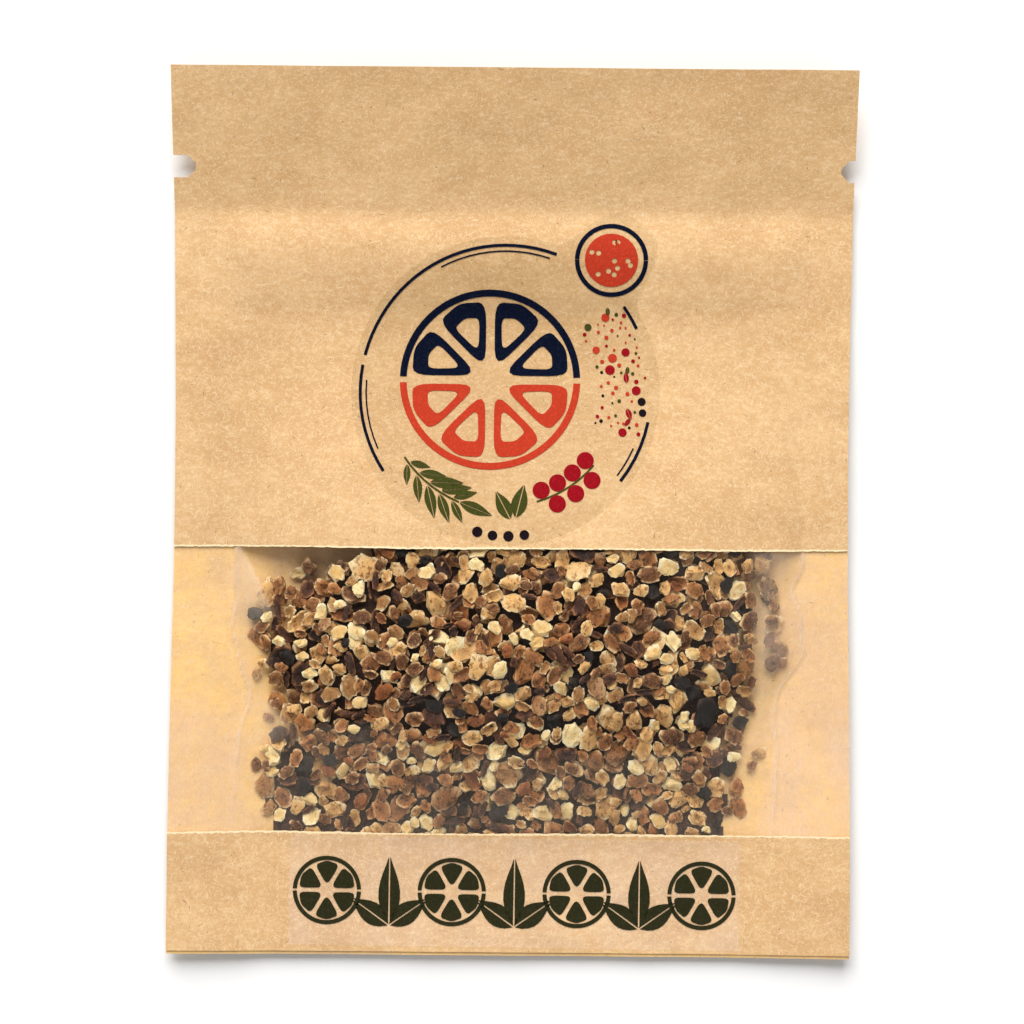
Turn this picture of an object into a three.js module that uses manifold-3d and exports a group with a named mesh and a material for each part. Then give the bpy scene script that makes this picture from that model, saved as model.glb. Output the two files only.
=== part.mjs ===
// A small kraft paper pouch with a clear window band, holding dried, cut orange peel. It lies on its back.
// X runs across the pouch, Y runs up it from the foot seal to the header, and Z is up from the table.
// The origin is on the table, under the middle of the pouch. All sizes are in millimetres.

import * as THREE from 'three';
import Module from 'manifold-3d';
import { mergeVertices } from 'three/addons/utils/BufferGeometryUtils.js';

const { clamp, degToRad, lerp, smoothstep } = THREE.MathUtils;

// Pouch outline
const PACK_WIDTH = 100;
const PACK_LENGTH = 129.4; // in plan: the header's tilt takes a little off its 130
const FRONT_FOOT_STEP = 0.5; // the front panel stops this short of the back panel's foot edge
const WAIST = 0.016; // the filled pocket draws the side edges in, as a share of the width
const WAIST_Y = 7;
const WAIST_REACH = 38;

// Window: an opening in the front paper, as wide as the pouch, closed by film from inside
const WINDOW_LOW = 17.9; // above the foot edge
const WINDOW_HIGH = 59.6;
const FILM_LAP = 3; // film behind each paper edge

// Seals, and the band of the press-to-close strip, both measured in from the pouch's edges
const SIDE_SEAL = 8.2;
const FOOT_SEAL = 6.5;
const STRIP_TOP = 20.8;
const STRIP_FOOT = 36.9;
const STRIP_RIDGE = 32.9;

// Tear notches
const NOTCH_DOWN = 14.3; // centre, below the header edge
const NOTCH_HEIGHT = 3.2;
const NOTCH_TIP = 0.8; // blunt end
const NOTCH_DEPTH_LEFT = 3.5;
const NOTCH_DEPTH_RIGHT = 2.2;

// Layers
const PAPER = 0.25;
const FILM = 0.15;
const STICKER = 0.1;
const GAP = 0.2; // air between layers that lie on each other
const FILL_GAP = 0.35; // air round the peel
const FILL_EDGE = 2.4; // how far the heap keeps inside the pocket's side lines

// Bulge of the filled pocket
const FILL_DEPTH = 8.6;
const FILL_CREST_Y = -22;
const SIDE_ROUNDNESS = 3.2;
const FOOT_TAPER = 0.5; // share of the fall towards the foot that is straight
const FOOT_FALL = 0.78; // the rest of it ends this far down
const HEAD_ROUNDNESS = 1.5;
const LEFT_CLING = 1.2; // beside the window the film clings to the back this far inside the left seal
const LEFT_TONGUE = 2.2; // and further in a tongue
const TONGUE_Y = -27.5;
const TONGUE_REACH = 5;
const RIGHT_CLING = 2.6; // on the right it clings this far inside the seal, low in the window
const RIGHT_SPREAD = 3.8; // and higher up it gains this much on that
const SPREAD_LOW_Y = -27;
const SPREAD_HIGH_Y = -19;

// How the underside lifts off the table towards the edges
const FLAT_HALF_WIDTH = 30;
const FLAT_FOOT_Y = -46;
const FLAT_HEAD_Y = 8;
const SIDE_LIFT = 2.2;
const FOOT_LIFT = 1.3;
const STRIP_LIFT = 1.1;
const HEADER_LIFT = 5;
const HEADER_CURL = 1.08; // above 1, so that the header bends up gently where it starts

// Relief of the closing strip under the front paper
const STRIP_THICK = 1.05;
const RIDGE_HEIGHT = 0.1;
const RIDGE_REACH = 1.6;
const STRIP_CRUSH = 0.75; // share of the relief that the side seals take away
const CRUSH_REACH = 3;
const BAND_RISE = 10; // how gradually the relief starts and ends
const BAND_FALL = 6;
const BAND_TAIL = 1;

// Stickers
const ROUND_RADIUS = 22.6;
const ROUND_CENTRE = new THREE.Vector2(-1, 18);
const LOBE_ANGLE = degToRad(51.5); // the round sticker's outline has one lobe, at its upper right
const LOBE_REACH = 8.9;
const LOBE_SPREAD = degToRad(13.5);
const LABEL_WIDTH = 66;
const LABEL_HEIGHT = 16;
const LABEL_CENTRE = new THREE.Vector2(0.9, -55.5);
const LABEL_TURN = degToRad(-0.4);

// Outline of the heap of peel
const HEAP_CENTRE = new THREE.Vector2(-0.4, -24);
const HEAP_HALF_WIDTH = 36.8;
const HEAP_HALF_LENGTH = 25.5;
const HEAP_SQUARENESS = 3.4;
const HEAP_CORNER_DENT = 0.16; // at the upper left, as a share of the radius
const DENT_ANGLE = degToRad(146);
const DENT_SPREAD = 0.32; // in radians
const HEAP_WAVE = 0.018; // share of the radius by which its edge wanders
const WAVE_COUNTS = [7, 11];

// Facets
const COLUMNS = 20;
const CELL = 3.4;
const HEAP_SPOKES = 44;
const HEAP_RINGS = 6;
const ROUND_CORNERS = 72;

// Cutting prisms stand from below the pouch to above it
const PRISM_FOOT = -5;
const PRISM_TOP = 15;

const ORIGIN = new THREE.Vector2();
const HEADER_EDGE = PACK_LENGTH / 2;
const FOOT_EDGE = -PACK_LENGTH / 2;
const SIDE_EDGE = PACK_WIDTH / 2;
const WINDOW_FOOT_Y = FOOT_EDGE + WINDOW_LOW;
const WINDOW_HEAD_Y = FOOT_EDGE + WINDOW_HIGH;
const FILM_FOOT_Y = WINDOW_FOOT_Y - FILM_LAP;
const FILM_HEAD_Y = WINDOW_HEAD_Y + FILM_LAP;
const FRONT_FOOT_Y = FOOT_EDGE + FRONT_FOOT_STEP;
const STRIP_FOOT_Y = HEADER_EDGE - STRIP_FOOT;
const STRIP_TOP_Y = HEADER_EDGE - STRIP_TOP;
const STRIP_RIDGE_Y = HEADER_EDGE - STRIP_RIDGE;
const POCKET_FOOT_Y = FOOT_EDGE + FOOT_SEAL;
const POCKET_SIDE = SIDE_EDGE - SIDE_SEAL;

const bell = (t) => Math.exp(-t * t);

// Underside of the whole pouch: flat under the peel, lifting towards the seals and the header.
function undersideZ(x, y) {
  const side = SIDE_LIFT * smoothstep(Math.abs(x), FLAT_HALF_WIDTH, SIDE_EDGE);
  const foot = FOOT_LIFT * smoothstep(-y, -FLAT_FOOT_Y, -FOOT_EDGE);
  const pocket = side + foot - (side * foot) / SIDE_LIFT;
  const up = clamp((y - STRIP_TOP_Y) / STRIP_TOP, 0, 1);
  const header = STRIP_LIFT + HEADER_LIFT * Math.pow(up, HEADER_CURL);
  return lerp(pocket, header, smoothstep(y, FLAT_HEAD_Y, STRIP_TOP_Y));
}

// Side lines of the pocket. Beside the window they wander in and out from the seals.
function pocketSides(y) {
  const aboveFoot = smoothstep(y, POCKET_FOOT_Y, WINDOW_FOOT_Y);
  const beside = aboveFoot * (1 - smoothstep(y, WINDOW_HEAD_Y, FLAT_HEAD_Y));
  const tongue = LEFT_TONGUE * bell((y - TONGUE_Y) / TONGUE_REACH);
  const left = -POCKET_SIDE + beside * (LEFT_CLING + tongue);
  const spread = RIGHT_SPREAD * smoothstep(y, SPREAD_LOW_Y, SPREAD_HIGH_Y) - RIGHT_CLING;
  const right = POCKET_SIDE + beside * spread;
  return { left, right };
}

// Space between the back panel and the film or front panel.
function pocketDepth(x, y) {
  const { left, right } = pocketSides(y);
  const across = clamp(Math.abs((2 * x - left - right) / (right - left)), 0, 1);
  const downward = clamp((FILL_CREST_Y - y) / (FILL_CREST_Y - POCKET_FOOT_Y), 0, 1);
  const upward = clamp((y - FILL_CREST_Y) / (STRIP_FOOT_Y - FILL_CREST_Y), 0, 1);
  const fall = 0.5 + 0.5 * Math.cos(Math.PI * clamp(downward / FOOT_FALL, 0, 1));
  const below = lerp(fall, 1 - downward, FOOT_TAPER);
  const above = 0.5 + 0.5 * Math.cos(Math.PI * Math.pow(upward, HEAD_ROUNDNESS));
  const along = y < FILL_CREST_Y ? below : above;
  return FILL_DEPTH * along * (1 - Math.pow(across, SIDE_ROUNDNESS));
}

// The closing strip shows through the front paper as a raised band with a ridge along it.
// The side seals crush it.
function stripRelief(x, y) {
  const aboveFoot = smoothstep(y, STRIP_FOOT_Y, STRIP_FOOT_Y + BAND_RISE);
  const band = aboveFoot * (1 - smoothstep(y, STRIP_TOP_Y - BAND_FALL, STRIP_TOP_Y + BAND_TAIL));
  const ridge = bell((y - STRIP_RIDGE_Y) / RIDGE_REACH);
  const atSeal = smoothstep(Math.abs(x), POCKET_SIDE - CRUSH_REACH, POCKET_SIDE + CRUSH_REACH);
  const crushed = 1 - STRIP_CRUSH * atSeal;
  return crushed * (STRIP_THICK * band + RIDGE_HEIGHT * ridge);
}

const backTopZ = (x, y) => undersideZ(x, y) + PAPER;
const filmLowZ = (x, y) => backTopZ(x, y) + GAP + pocketDepth(x, y);
const frontLowZ = (x, y) => filmLowZ(x, y) + FILM + GAP + stripRelief(x, y);
const stickerLowZ = (x, y) => frontLowZ(x, y) + PAPER + GAP;

// Moves each corner of a slab to its place in plan, then to the lower or the upper surface.
function shapeSlab(geometry, place, lowZ, thickness) {
  const corners = geometry.attributes.position;
  for (let i = 0; i < corners.count; i++) {
    const { x, y } = place(corners.getX(i), corners.getY(i));
    const upper = corners.getZ(i) > 0;
    corners.setXYZ(i, x, y, lowZ(x, y) + (upper ? thickness(x, y) : 0));
  }
  geometry.computeVertexNormals();
  return geometry;
}

// Rows of facets are at the same heights up the pouch in every sheet, so that layers lie flush.
function rowLines(marks) {
  const lines = [marks[0]];
  for (let i = 1; i < marks.length; i++) {
    const steps = Math.max(1, Math.round((marks[i] - marks[i - 1]) / CELL));
    for (let k = 1; k <= steps; k++) lines.push(lerp(marks[i - 1], marks[i], k / steps));
  }
  return lines;
}

const ROWS = rowLines([
  FOOT_EDGE, FRONT_FOOT_Y, FILM_FOOT_Y, WINDOW_FOOT_Y, WINDOW_HEAD_Y, FILM_HEAD_Y,
  STRIP_FOOT_Y, STRIP_RIDGE_Y, STRIP_TOP_Y, HEADER_EDGE,
]);

// A sheet as wide as the pouch, drawn in at the waist.
function sheet(lowY, highY, lowZ, thickness) {
  const lines = ROWS.filter((y) => y >= lowY && y <= highY);
  const rows = lines.length - 1;
  const slab = new THREE.BoxGeometry(PACK_WIDTH, rows, 1, COLUMNS, rows, 1);
  const place = (x, row) => {
    const y = lines[Math.round(row + rows / 2)];
    return { x: x * (1 - WAIST * bell((y - WAIST_Y) / WAIST_REACH)), y };
  };
  return shapeSlab(slab, place, lowZ, () => thickness);
}

// A round or rounded slab: a flat lathe of unit radius, whose points are then placed in an outline.
function roundSlab(spokes, rings, place, lowZ, thickness) {
  const steps = Array.from({ length: rings + 1 }, (_, i) => i / rings);
  const profile = [
    ...steps.map((r) => new THREE.Vector2(r, -0.5)),
    ...steps.toReversed().map((r) => new THREE.Vector2(r, 0.5)),
  ];
  const slab = new THREE.LatheGeometry(profile, spokes).rotateX(Math.PI / 2);
  return shapeSlab(slab, place, lowZ, thickness);
}

// The heap fills a rounded rectangle. Its upper left corner has slumped, and its edge wanders.
function heapRim(angle) {
  const across = Math.abs(Math.cos(angle)) / HEAP_HALF_WIDTH;
  const along = Math.abs(Math.sin(angle)) / HEAP_HALF_LENGTH;
  const square = Math.pow(across ** HEAP_SQUARENESS + along ** HEAP_SQUARENESS, -1 / HEAP_SQUARENESS);
  const dent = HEAP_CORNER_DENT * bell((angle - DENT_ANGLE) / DENT_SPREAD);
  const wave = HEAP_WAVE * WAVE_COUNTS.reduce((sum, count) => sum + Math.sin(count * angle), 0);
  return square * (1 - dent + wave);
}

// A point of the unit disc, drawn out to the heap's rim and kept inside the pocket.
function heapPlace(x, y) {
  const rim = heapRim(Math.atan2(y, x));
  const up = HEAP_CENTRE.y + y * rim;
  const { left, right } = pocketSides(up);
  return { x: clamp(HEAP_CENTRE.x + x * rim, left + FILL_EDGE, right - FILL_EDGE), y: up };
}

const manifold = await Module();
manifold.setup();

// A closed geometry as a solid that can be cut.
function toSolid(geometry) {
  const bare = geometry.clone().deleteAttribute('normal').deleteAttribute('uv');
  const merged = mergeVertices(bare);
  return new manifold.Manifold(new manifold.Mesh({
    numProp: 3,
    vertProperties: merged.attributes.position.array,
    triVerts: new Uint32Array(merged.index.array),
  }));
}

function toGeometry(solid) {
  const mesh = solid.getMesh();
  const geometry = new THREE.BufferGeometry();
  geometry.setAttribute('position', new THREE.BufferAttribute(mesh.vertProperties, 3));
  geometry.setIndex(new THREE.BufferAttribute(mesh.triVerts, 1));
  geometry.computeVertexNormals();
  return geometry;
}

// An upright prism over an outline, tall enough to cut every layer.
function prism(outline) {
  const geometry = new THREE.ExtrudeGeometry(outline, { depth: PRISM_TOP - PRISM_FOOT, bevelEnabled: false });
  return toSolid(geometry.translate(0, 0, PRISM_FOOT));
}

// A tear notch: straight sides, then 45 degree sides down to a blunt tip.
function notchOutline(side, depth) {
  const half = NOTCH_HEIGHT / 2;
  const tip = NOTCH_TIP / 2;
  const outside = side * (SIDE_EDGE + 1);
  const shoulder = side * (SIDE_EDGE - depth + half - tip);
  const end = side * (SIDE_EDGE - depth);
  const centreY = HEADER_EDGE - NOTCH_DOWN;
  const outline = new THREE.Shape();
  outline.moveTo(outside, centreY - half);
  outline.lineTo(shoulder, centreY - half);
  outline.lineTo(end, centreY - tip);
  outline.lineTo(end, centreY + tip);
  outline.lineTo(shoulder, centreY + half);
  outline.lineTo(outside, centreY + half);
  return outline;
}

// The notches go through the front and the back together.
function withNotches(geometry) {
  return toGeometry(toSolid(geometry)
    .subtract(prism(notchOutline(-1, NOTCH_DEPTH_LEFT)))
    .subtract(prism(notchOutline(1, NOTCH_DEPTH_RIGHT))));
}

// The round sticker: a circle with one lobe.
function roundOutline() {
  const corners = [];
  for (let i = 0; i < ROUND_CORNERS; i++) {
    const fromLobe = (2 * i / ROUND_CORNERS - 1) * Math.PI;
    const rim = ROUND_RADIUS + LOBE_REACH * Math.exp(-Math.pow(fromLobe / LOBE_SPREAD, 4));
    corners.push(new THREE.Vector2(rim, 0).rotateAround(ORIGIN, fromLobe + LOBE_ANGLE).add(ROUND_CENTRE));
  }
  return new THREE.Shape(corners);
}

// The foot label: a rectangle that lies a little askew.
function labelOutline() {
  const corners = [[-1, -1], [1, -1], [1, 1], [-1, 1]].map(([i, j]) => {
    const corner = new THREE.Vector2(i * LABEL_WIDTH / 2, j * LABEL_HEIGHT / 2);
    return corner.rotateAround(ORIGIN, LABEL_TURN).add(LABEL_CENTRE);
  });
  return new THREE.Shape(corners);
}

// A sticker is what lies within its outline of a sheet over the front.
function sticker(outline) {
  return toGeometry(toSolid(sheet(FOOT_EDGE, HEADER_EDGE, stickerLowZ, STICKER)).intersect(prism(outline)));
}

const pouch = new THREE.Group();

function addNode(name, geometry, color, roughness, extra = {}) {
  const material = new THREE.MeshStandardMaterial({ color, roughness, metalness: 0, ...extra });
  const mesh = new THREE.Mesh(geometry, material);
  mesh.name = name;
  pouch.add(mesh);
}

const KRAFT = '#dcb27c';
const CLEAR = { transparent: true, opacity: 0.3 };

addNode('back_panel', withNotches(sheet(FOOT_EDGE, HEADER_EDGE, undersideZ, PAPER)), KRAFT, 0.85);
addNode('front_upper_panel', withNotches(sheet(WINDOW_HEAD_Y, HEADER_EDGE, frontLowZ, PAPER)), KRAFT, 0.85);
addNode('front_lower_panel', sheet(FRONT_FOOT_Y, WINDOW_FOOT_Y, frontLowZ, PAPER), KRAFT, 0.85);
addNode('window_film', sheet(FILM_FOOT_Y, FILM_HEAD_Y, filmLowZ, FILM), '#f3efe6', 0.2, CLEAR);

const peelDepth = (x, y) => pocketDepth(x, y) + GAP - 2 * FILL_GAP;
const peelLowZ = (x, y) => backTopZ(x, y) + FILL_GAP;
addNode('peel_fill', roundSlab(HEAP_SPOKES, HEAP_RINGS, heapPlace, peelLowZ, peelDepth), '#8f6038', 0.9);

addNode('round_sticker', sticker(roundOutline()), '#d8b98a', 0.35, CLEAR);
addNode('foot_label', sticker(labelOutline()), '#e2c498', 0.35, CLEAR);

export default pouch;
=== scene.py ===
"""A small kraft paper pouch with a clear window band, filled with dried, cut orange peel, lying on its back.

The pouch's outline, window and stickers come from the frame. Every sheet is a fine grid, draped over
one shared surface: an underside that lifts towards the seals, and above it the depth of the pocket.
"""

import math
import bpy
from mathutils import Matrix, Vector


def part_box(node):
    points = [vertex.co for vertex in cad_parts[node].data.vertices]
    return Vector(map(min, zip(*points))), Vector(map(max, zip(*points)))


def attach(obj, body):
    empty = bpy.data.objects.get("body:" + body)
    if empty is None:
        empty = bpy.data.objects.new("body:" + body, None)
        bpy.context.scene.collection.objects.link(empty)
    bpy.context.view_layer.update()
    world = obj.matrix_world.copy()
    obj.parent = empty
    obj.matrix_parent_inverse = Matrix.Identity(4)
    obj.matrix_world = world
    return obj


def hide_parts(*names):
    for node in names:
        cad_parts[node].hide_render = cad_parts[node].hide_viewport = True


bl_info = {
    "name": "Dried Peel Pouch",
    "version": (1, 0, 0),
    "blender": (4, 5, 0),
    "location": "View3D > Sidebar > Peel Pouch",
    "description": "Builds a kraft window pouch of dried orange peel, with its stickers, film and stage",
    "category": "Object",
}

import bpy
import numpy as np
from bpy.props import FloatProperty, FloatVectorProperty, IntProperty, PointerProperty
from mathutils import Euler, Matrix, Vector

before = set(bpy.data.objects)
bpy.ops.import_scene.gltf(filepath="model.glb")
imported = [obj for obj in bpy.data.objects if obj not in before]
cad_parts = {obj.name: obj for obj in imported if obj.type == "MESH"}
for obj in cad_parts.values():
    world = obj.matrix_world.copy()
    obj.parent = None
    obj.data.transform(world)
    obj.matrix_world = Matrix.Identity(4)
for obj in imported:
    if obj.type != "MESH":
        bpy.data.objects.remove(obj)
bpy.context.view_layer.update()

MM = 0.001
BACK_LOW, BACK_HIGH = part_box("back_panel")
UPPER_LOW, UPPER_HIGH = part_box("front_upper_panel")
LOWER_LOW, LOWER_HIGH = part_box("front_lower_panel")
FILM_LOW, FILM_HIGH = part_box("window_film")
ROUND_LOW, ROUND_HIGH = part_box("round_sticker")
LABEL_LOW, LABEL_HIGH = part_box("foot_label")
SIDE_EDGE = BACK_HIGH.x
FOOT_EDGE = BACK_LOW.y
HEADER_EDGE = BACK_HIGH.y
WINDOW_FOOT_Y = LOWER_HIGH.y
WINDOW_HEAD_Y = UPPER_LOW.y


def linear(hex_colour):
    """An sRGB hex colour as linear red, green, blue and alpha."""
    channels = [int(hex_colour[i:i + 2], 16) / 255 for i in (1, 3, 5)]
    return (*[c / 12.92 if c <= 0.04045 else ((c + 0.055) / 1.055) ** 2.4 for c in channels], 1.0)


def length(name, description, default):
    return FloatProperty(name=name, description=description, default=default, unit="LENGTH",
                         subtype="DISTANCE")


def colour(name, description, hex_colour):
    return FloatVectorProperty(name=name, description=description, default=linear(hex_colour), size=4,
                               subtype="COLOR", min=0, max=1)


class PouchSizes(bpy.types.PropertyGroup):
    """Sizes of the pouch, in metres."""

    paper: length("Paper", "Thickness of the laminated kraft paper", 0.16 * MM)
    film: length("Film", "Thickness of the window film", 0.06 * MM)
    sticker: length("Sticker", "Thickness of a sticker", 0.05 * MM)
    ink: length("Ink", "Thickness of a printed shape", 0.02 * MM)
    skin: length("Skin", "Air between layers that lie on each other", 0.02 * MM)
    side_seal: length("Side seal", "Width of the side seals", 8.2 * MM)
    foot_seal: length("Foot seal", "Height of the foot seal", 6.5 * MM)
    strip_foot: length("Strip foot", "Closing strip's foot, below the header edge", 36.9 * MM)
    strip_ridge: length("Strip ridge", "Closing strip's ridge, below the header edge", 32.9 * MM)
    strip_top: length("Strip top", "Closing strip's top, below the header edge", 20.8 * MM)
    strip_thick: length("Strip thickness", "How far the closing strip lifts the front", 1.05 * MM)
    ridge_height: length("Ridge height", "Height of the ridge on the closing strip", 0.1 * MM)
    fill_depth: length("Fill depth", "Depth of the filled pocket at its crest", 8.6 * MM)
    fill_crest: length("Fill crest", "Where the pocket is deepest, up the pouch", -22 * MM)
    notch_down: length("Notch place", "Centre of the tear notches, below the header edge", 14.3 * MM)
    notch_height: length("Notch height", "Height of a tear notch", 3.2 * MM)
    notch_left: length("Left notch", "Depth of the left tear notch", 3.5 * MM)
    notch_right: length("Right notch", "Depth of the right tear notch", 2.2 * MM)
    round_radius: length("Round sticker", "Radius of the round sticker", 22.6 * MM)
    lobe_reach: length("Lobe", "How far the round sticker's lobe reaches beyond its circle", 8.9 * MM)
    lobe_angle: FloatProperty(name="Lobe angle", description="Direction of the round sticker's lobe",
                              default=math.radians(51.5), subtype="ANGLE")
    label_turn: FloatProperty(name="Label turn", description="How far askew the foot label lies",
                              default=math.radians(-0.4), subtype="ANGLE")


class PouchColours(bpy.types.PropertyGroup):
    """Colours of the paper, film, stickers and ink."""

    kraft: colour("Kraft", "Outer face of the paper", "#e3ba86")
    kraft_dark: colour("Kraft, dark", "Darker clouds in the paper", "#cfa370")
    kraft_fibre: colour("Light fibre", "Bleached fibres in the paper", "#f6dab0")
    kraft_shive: colour("Dark fibre", "Shives and specks in the paper", "#644a2e")
    kraft_inner: colour("Inner face", "Laminated inner face of the paper", "#fdd07c")
    kraft_cut: colour("Cut edge", "Torn fibres along a cut edge", "#fbe4b8")
    film_haze_and_sheen: colour("Film haze", "Milky haze in the film", "#fff0dc")
    sticker_tint: colour("Sticker tint", "What the round sticker lets through", "#fbfbfa")
    label_tint: colour("Label tint", "What the foot label lets through", "#ffffff")
    navy: colour("Navy", "Navy ink", "#070e22")
    orange: colour("Orange", "Orange red ink", "#b63822")
    red: colour("Red", "Deep red ink", "#8f0d18")
    olive: colour("Olive", "Olive ink", "#3f4218")
    black: colour("Black", "Brown black ink", "#190f14")
    label_ink: colour("Label ink", "Dark olive ink of the foot label", "#2b2a17")


class PeelSettings(bpy.types.PropertyGroup):
    """How the pocket is filled."""

    seed: IntProperty(name="Seed", description="Changes how the pieces fall", default=11, min=0)
    most: IntProperty(name="Most pieces", description="Pieces dropped before the filling stops",
                      default=2300, min=1)
    strays: FloatProperty(name="Strays", description="Share of pieces that lie beside the heap",
                          default=0.004, min=0, max=1, subtype="FACTOR")
    bed: length("Bed", "How far the core keeps below the film", 2.7 * MM)
    margin: length("Margin", "How far pieces run on under the paper", 5 * MM)


def sizes():
    return bpy.context.scene.pouch_sizes


def colours():
    return bpy.context.scene.pouch_colours


# --------------------------------------------------------------------------------------------------
# The shared surface. All functions take and give metres, and work on arrays.

FLAT_HALF_WIDTH = 30 * MM
FLAT_FOOT_Y = -46 * MM
FLAT_HEAD_Y = 8 * MM
SIDE_LIFT = 2.2 * MM
FOOT_LIFT = 1.3 * MM
STRIP_LIFT = 1.1 * MM
HEADER_LIFT = 5 * MM
HEADER_CURL = 1.08
SIDE_ROUNDNESS = 3.2
FOOT_TAPER = 0.5
FOOT_FALL = 0.78
HEAD_ROUNDNESS = 1.5
RIDGE_REACH = 1.6 * MM
STRIP_CRUSH = 0.75
SEAL_STEP = 0.07 * MM
SEAL_EDGE = 0.4 * MM
PRESSED_FROM_Y = 24 * MM
PRESSED_FULL_Y = 30 * MM
FRONT_CREASE_HEIGHT = 0.1 * MM
LOBE_SPREAD = math.radians(13.5)
WAIST = 0.016
WAIST_Y = 7 * MM
WAIST_REACH = 38 * MM


def smooth(t, low, high):
    """0 below low, 1 above high, with level ends."""
    u = np.clip((t - low) / (high - low), 0, 1)
    return u * u * (3 - 2 * u)


def bell(t):
    return np.exp(-t * t)


def waves(seed, shortest, longest, count):
    """Random waves in plan, as wave numbers, phases and weights that favour the long ones."""
    draw = np.random.default_rng(seed)
    wavelengths = np.exp(draw.uniform(math.log(shortest), math.log(longest), count))
    angles = draw.uniform(0, math.pi, count)
    numbers = 2 * math.pi / wavelengths
    weights = wavelengths / wavelengths.sum()
    return numbers * np.cos(angles), numbers * np.sin(angles), draw.uniform(0, 2 * math.pi, count), weights


def ripple(x, y, spectrum):
    """A sum of waves, mostly between -1 and 1."""
    total = np.zeros_like(x)
    for across, along, phase, weight in zip(*spectrum):
        total += weight * np.sin(across * x + along * y + phase)
    return 2 * total


HANDLING = waves(3, 9 * MM, 34 * MM, 16)
CREASING = waves(5, 3 * MM, 9 * MM, 18)
FILM_CREASING = waves(8, 3 * MM, 10 * MM, 16)
HEAP_LUMPS = waves(13, 3 * MM, 9 * MM, 20)
HANDLING_HEIGHT = 0.22 * MM
CREASE_HEIGHT = 0.05 * MM
DENTS_FROM = 0.3 * MM
DENTS_FULL = 1.6 * MM

LEFT_CLING = 1.2 * MM
TONGUE = 2.2 * MM
TONGUE_Y = -27.5 * MM
TONGUE_REACH = 5 * MM
BAY = 1.7 * MM
BAY_Y = -11 * MM
BAY_REACH = 2.6 * MM
RIGHT_CLING_MM = 2.6
RIGHT_SPREAD_MM = 3.8
SPREAD_LOW_Y = -27 * MM
SPREAD_HIGH_Y = -19 * MM
WANDER_WIDE = 0.2 * MM
WANDER_WIDE_PITCH = 2.1 * MM
WANDER_FINE = 0.12 * MM
WANDER_FINE_PITCH = 1.1 * MM

BAND_RISE = 10 * MM
BAND_FALL = 6 * MM
BAND_TAIL = 1 * MM
CRUSH_REACH = 3 * MM


def underside(x, y):
    """Underside of the pouch: flat under the peel, lifting towards the seals and the header."""
    s = sizes()
    side = SIDE_LIFT * smooth(np.abs(x), FLAT_HALF_WIDTH, SIDE_EDGE)
    foot = FOOT_LIFT * smooth(-y, -FLAT_FOOT_Y, -FOOT_EDGE)
    pocket = side + foot - side * foot / SIDE_LIFT
    strip_top = HEADER_EDGE - s.strip_top
    up = np.clip((y - strip_top) / s.strip_top, 0, 1)
    header = STRIP_LIFT + HEADER_LIFT * up ** HEADER_CURL
    share = smooth(y, FLAT_HEAD_Y, strip_top)
    lift = pocket * (1 - share) + header * share
    dents = HANDLING_HEIGHT * ripple(x, y, HANDLING) + CREASE_HEIGHT * ripple(x, y, CREASING)
    return lift + dents * smooth(lift, DENTS_FROM, DENTS_FULL)


def pocket_sides(y):
    """Left and right lines where the front comes off the back. The film clings on beyond the side seals."""
    s = sizes()
    seal = SIDE_EDGE - s.side_seal
    beside = smooth(y, FOOT_EDGE + s.foot_seal, WINDOW_FOOT_Y)
    beside = beside * (1 - smooth(y, WINDOW_HEAD_Y, FLAT_HEAD_Y))
    tongue = TONGUE * bell((y - TONGUE_Y) / TONGUE_REACH)
    wander = WANDER_WIDE * np.sin(y / WANDER_WIDE_PITCH) + WANDER_FINE * np.sin(y / WANDER_FINE_PITCH + 1)
    bay = BAY * bell((y - BAY_Y) / BAY_REACH)
    spread = (RIGHT_SPREAD_MM * smooth(y, SPREAD_LOW_Y, SPREAD_HIGH_Y) - RIGHT_CLING_MM) * MM
    left = -seal + beside * (LEFT_CLING + tongue + wander)
    right = seal + beside * (spread - bay + wander)
    return left, right


def pocket_depth(x, y):
    """Space between the back and the front, for the peel."""
    s = sizes()
    left, right = pocket_sides(y)
    foot, head = FOOT_EDGE + s.foot_seal, HEADER_EDGE - s.strip_foot
    across = np.clip(np.abs((2 * x - left - right) / (right - left)), 0, 1)
    downward = np.clip((s.fill_crest - y) / (s.fill_crest - foot), 0, 1)
    upward = np.clip((y - s.fill_crest) / (head - s.fill_crest), 0, 1)
    fall = 0.5 + 0.5 * np.cos(math.pi * np.clip(downward / FOOT_FALL, 0, 1))
    below = (1 - FOOT_TAPER) * fall + FOOT_TAPER * (1 - downward)
    above = 0.5 + 0.5 * np.cos(math.pi * upward ** HEAD_ROUNDNESS)
    along = np.where(y < s.fill_crest, below, above)
    return s.fill_depth * along * (1 - across ** SIDE_ROUNDNESS)


def strip_relief(x, y):
    """The closing strip shows through the front as a raised band with a ridge. The side seals crush it."""
    s = sizes()
    foot, top = HEADER_EDGE - s.strip_foot, HEADER_EDGE - s.strip_top
    band = smooth(y, foot, foot + BAND_RISE) * (1 - smooth(y, top - BAND_FALL, top + BAND_TAIL))
    ridge = bell((y - HEADER_EDGE + s.strip_ridge) / RIDGE_REACH)
    seal = SIDE_EDGE - s.side_seal
    crushed = 1 - STRIP_CRUSH * smooth(np.abs(x), seal - CRUSH_REACH, seal + CRUSH_REACH)
    return crushed * (s.strip_thick * band + s.ridge_height * ridge)


def back_top(x, y):
    return underside(x, y) + sizes().paper


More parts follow.
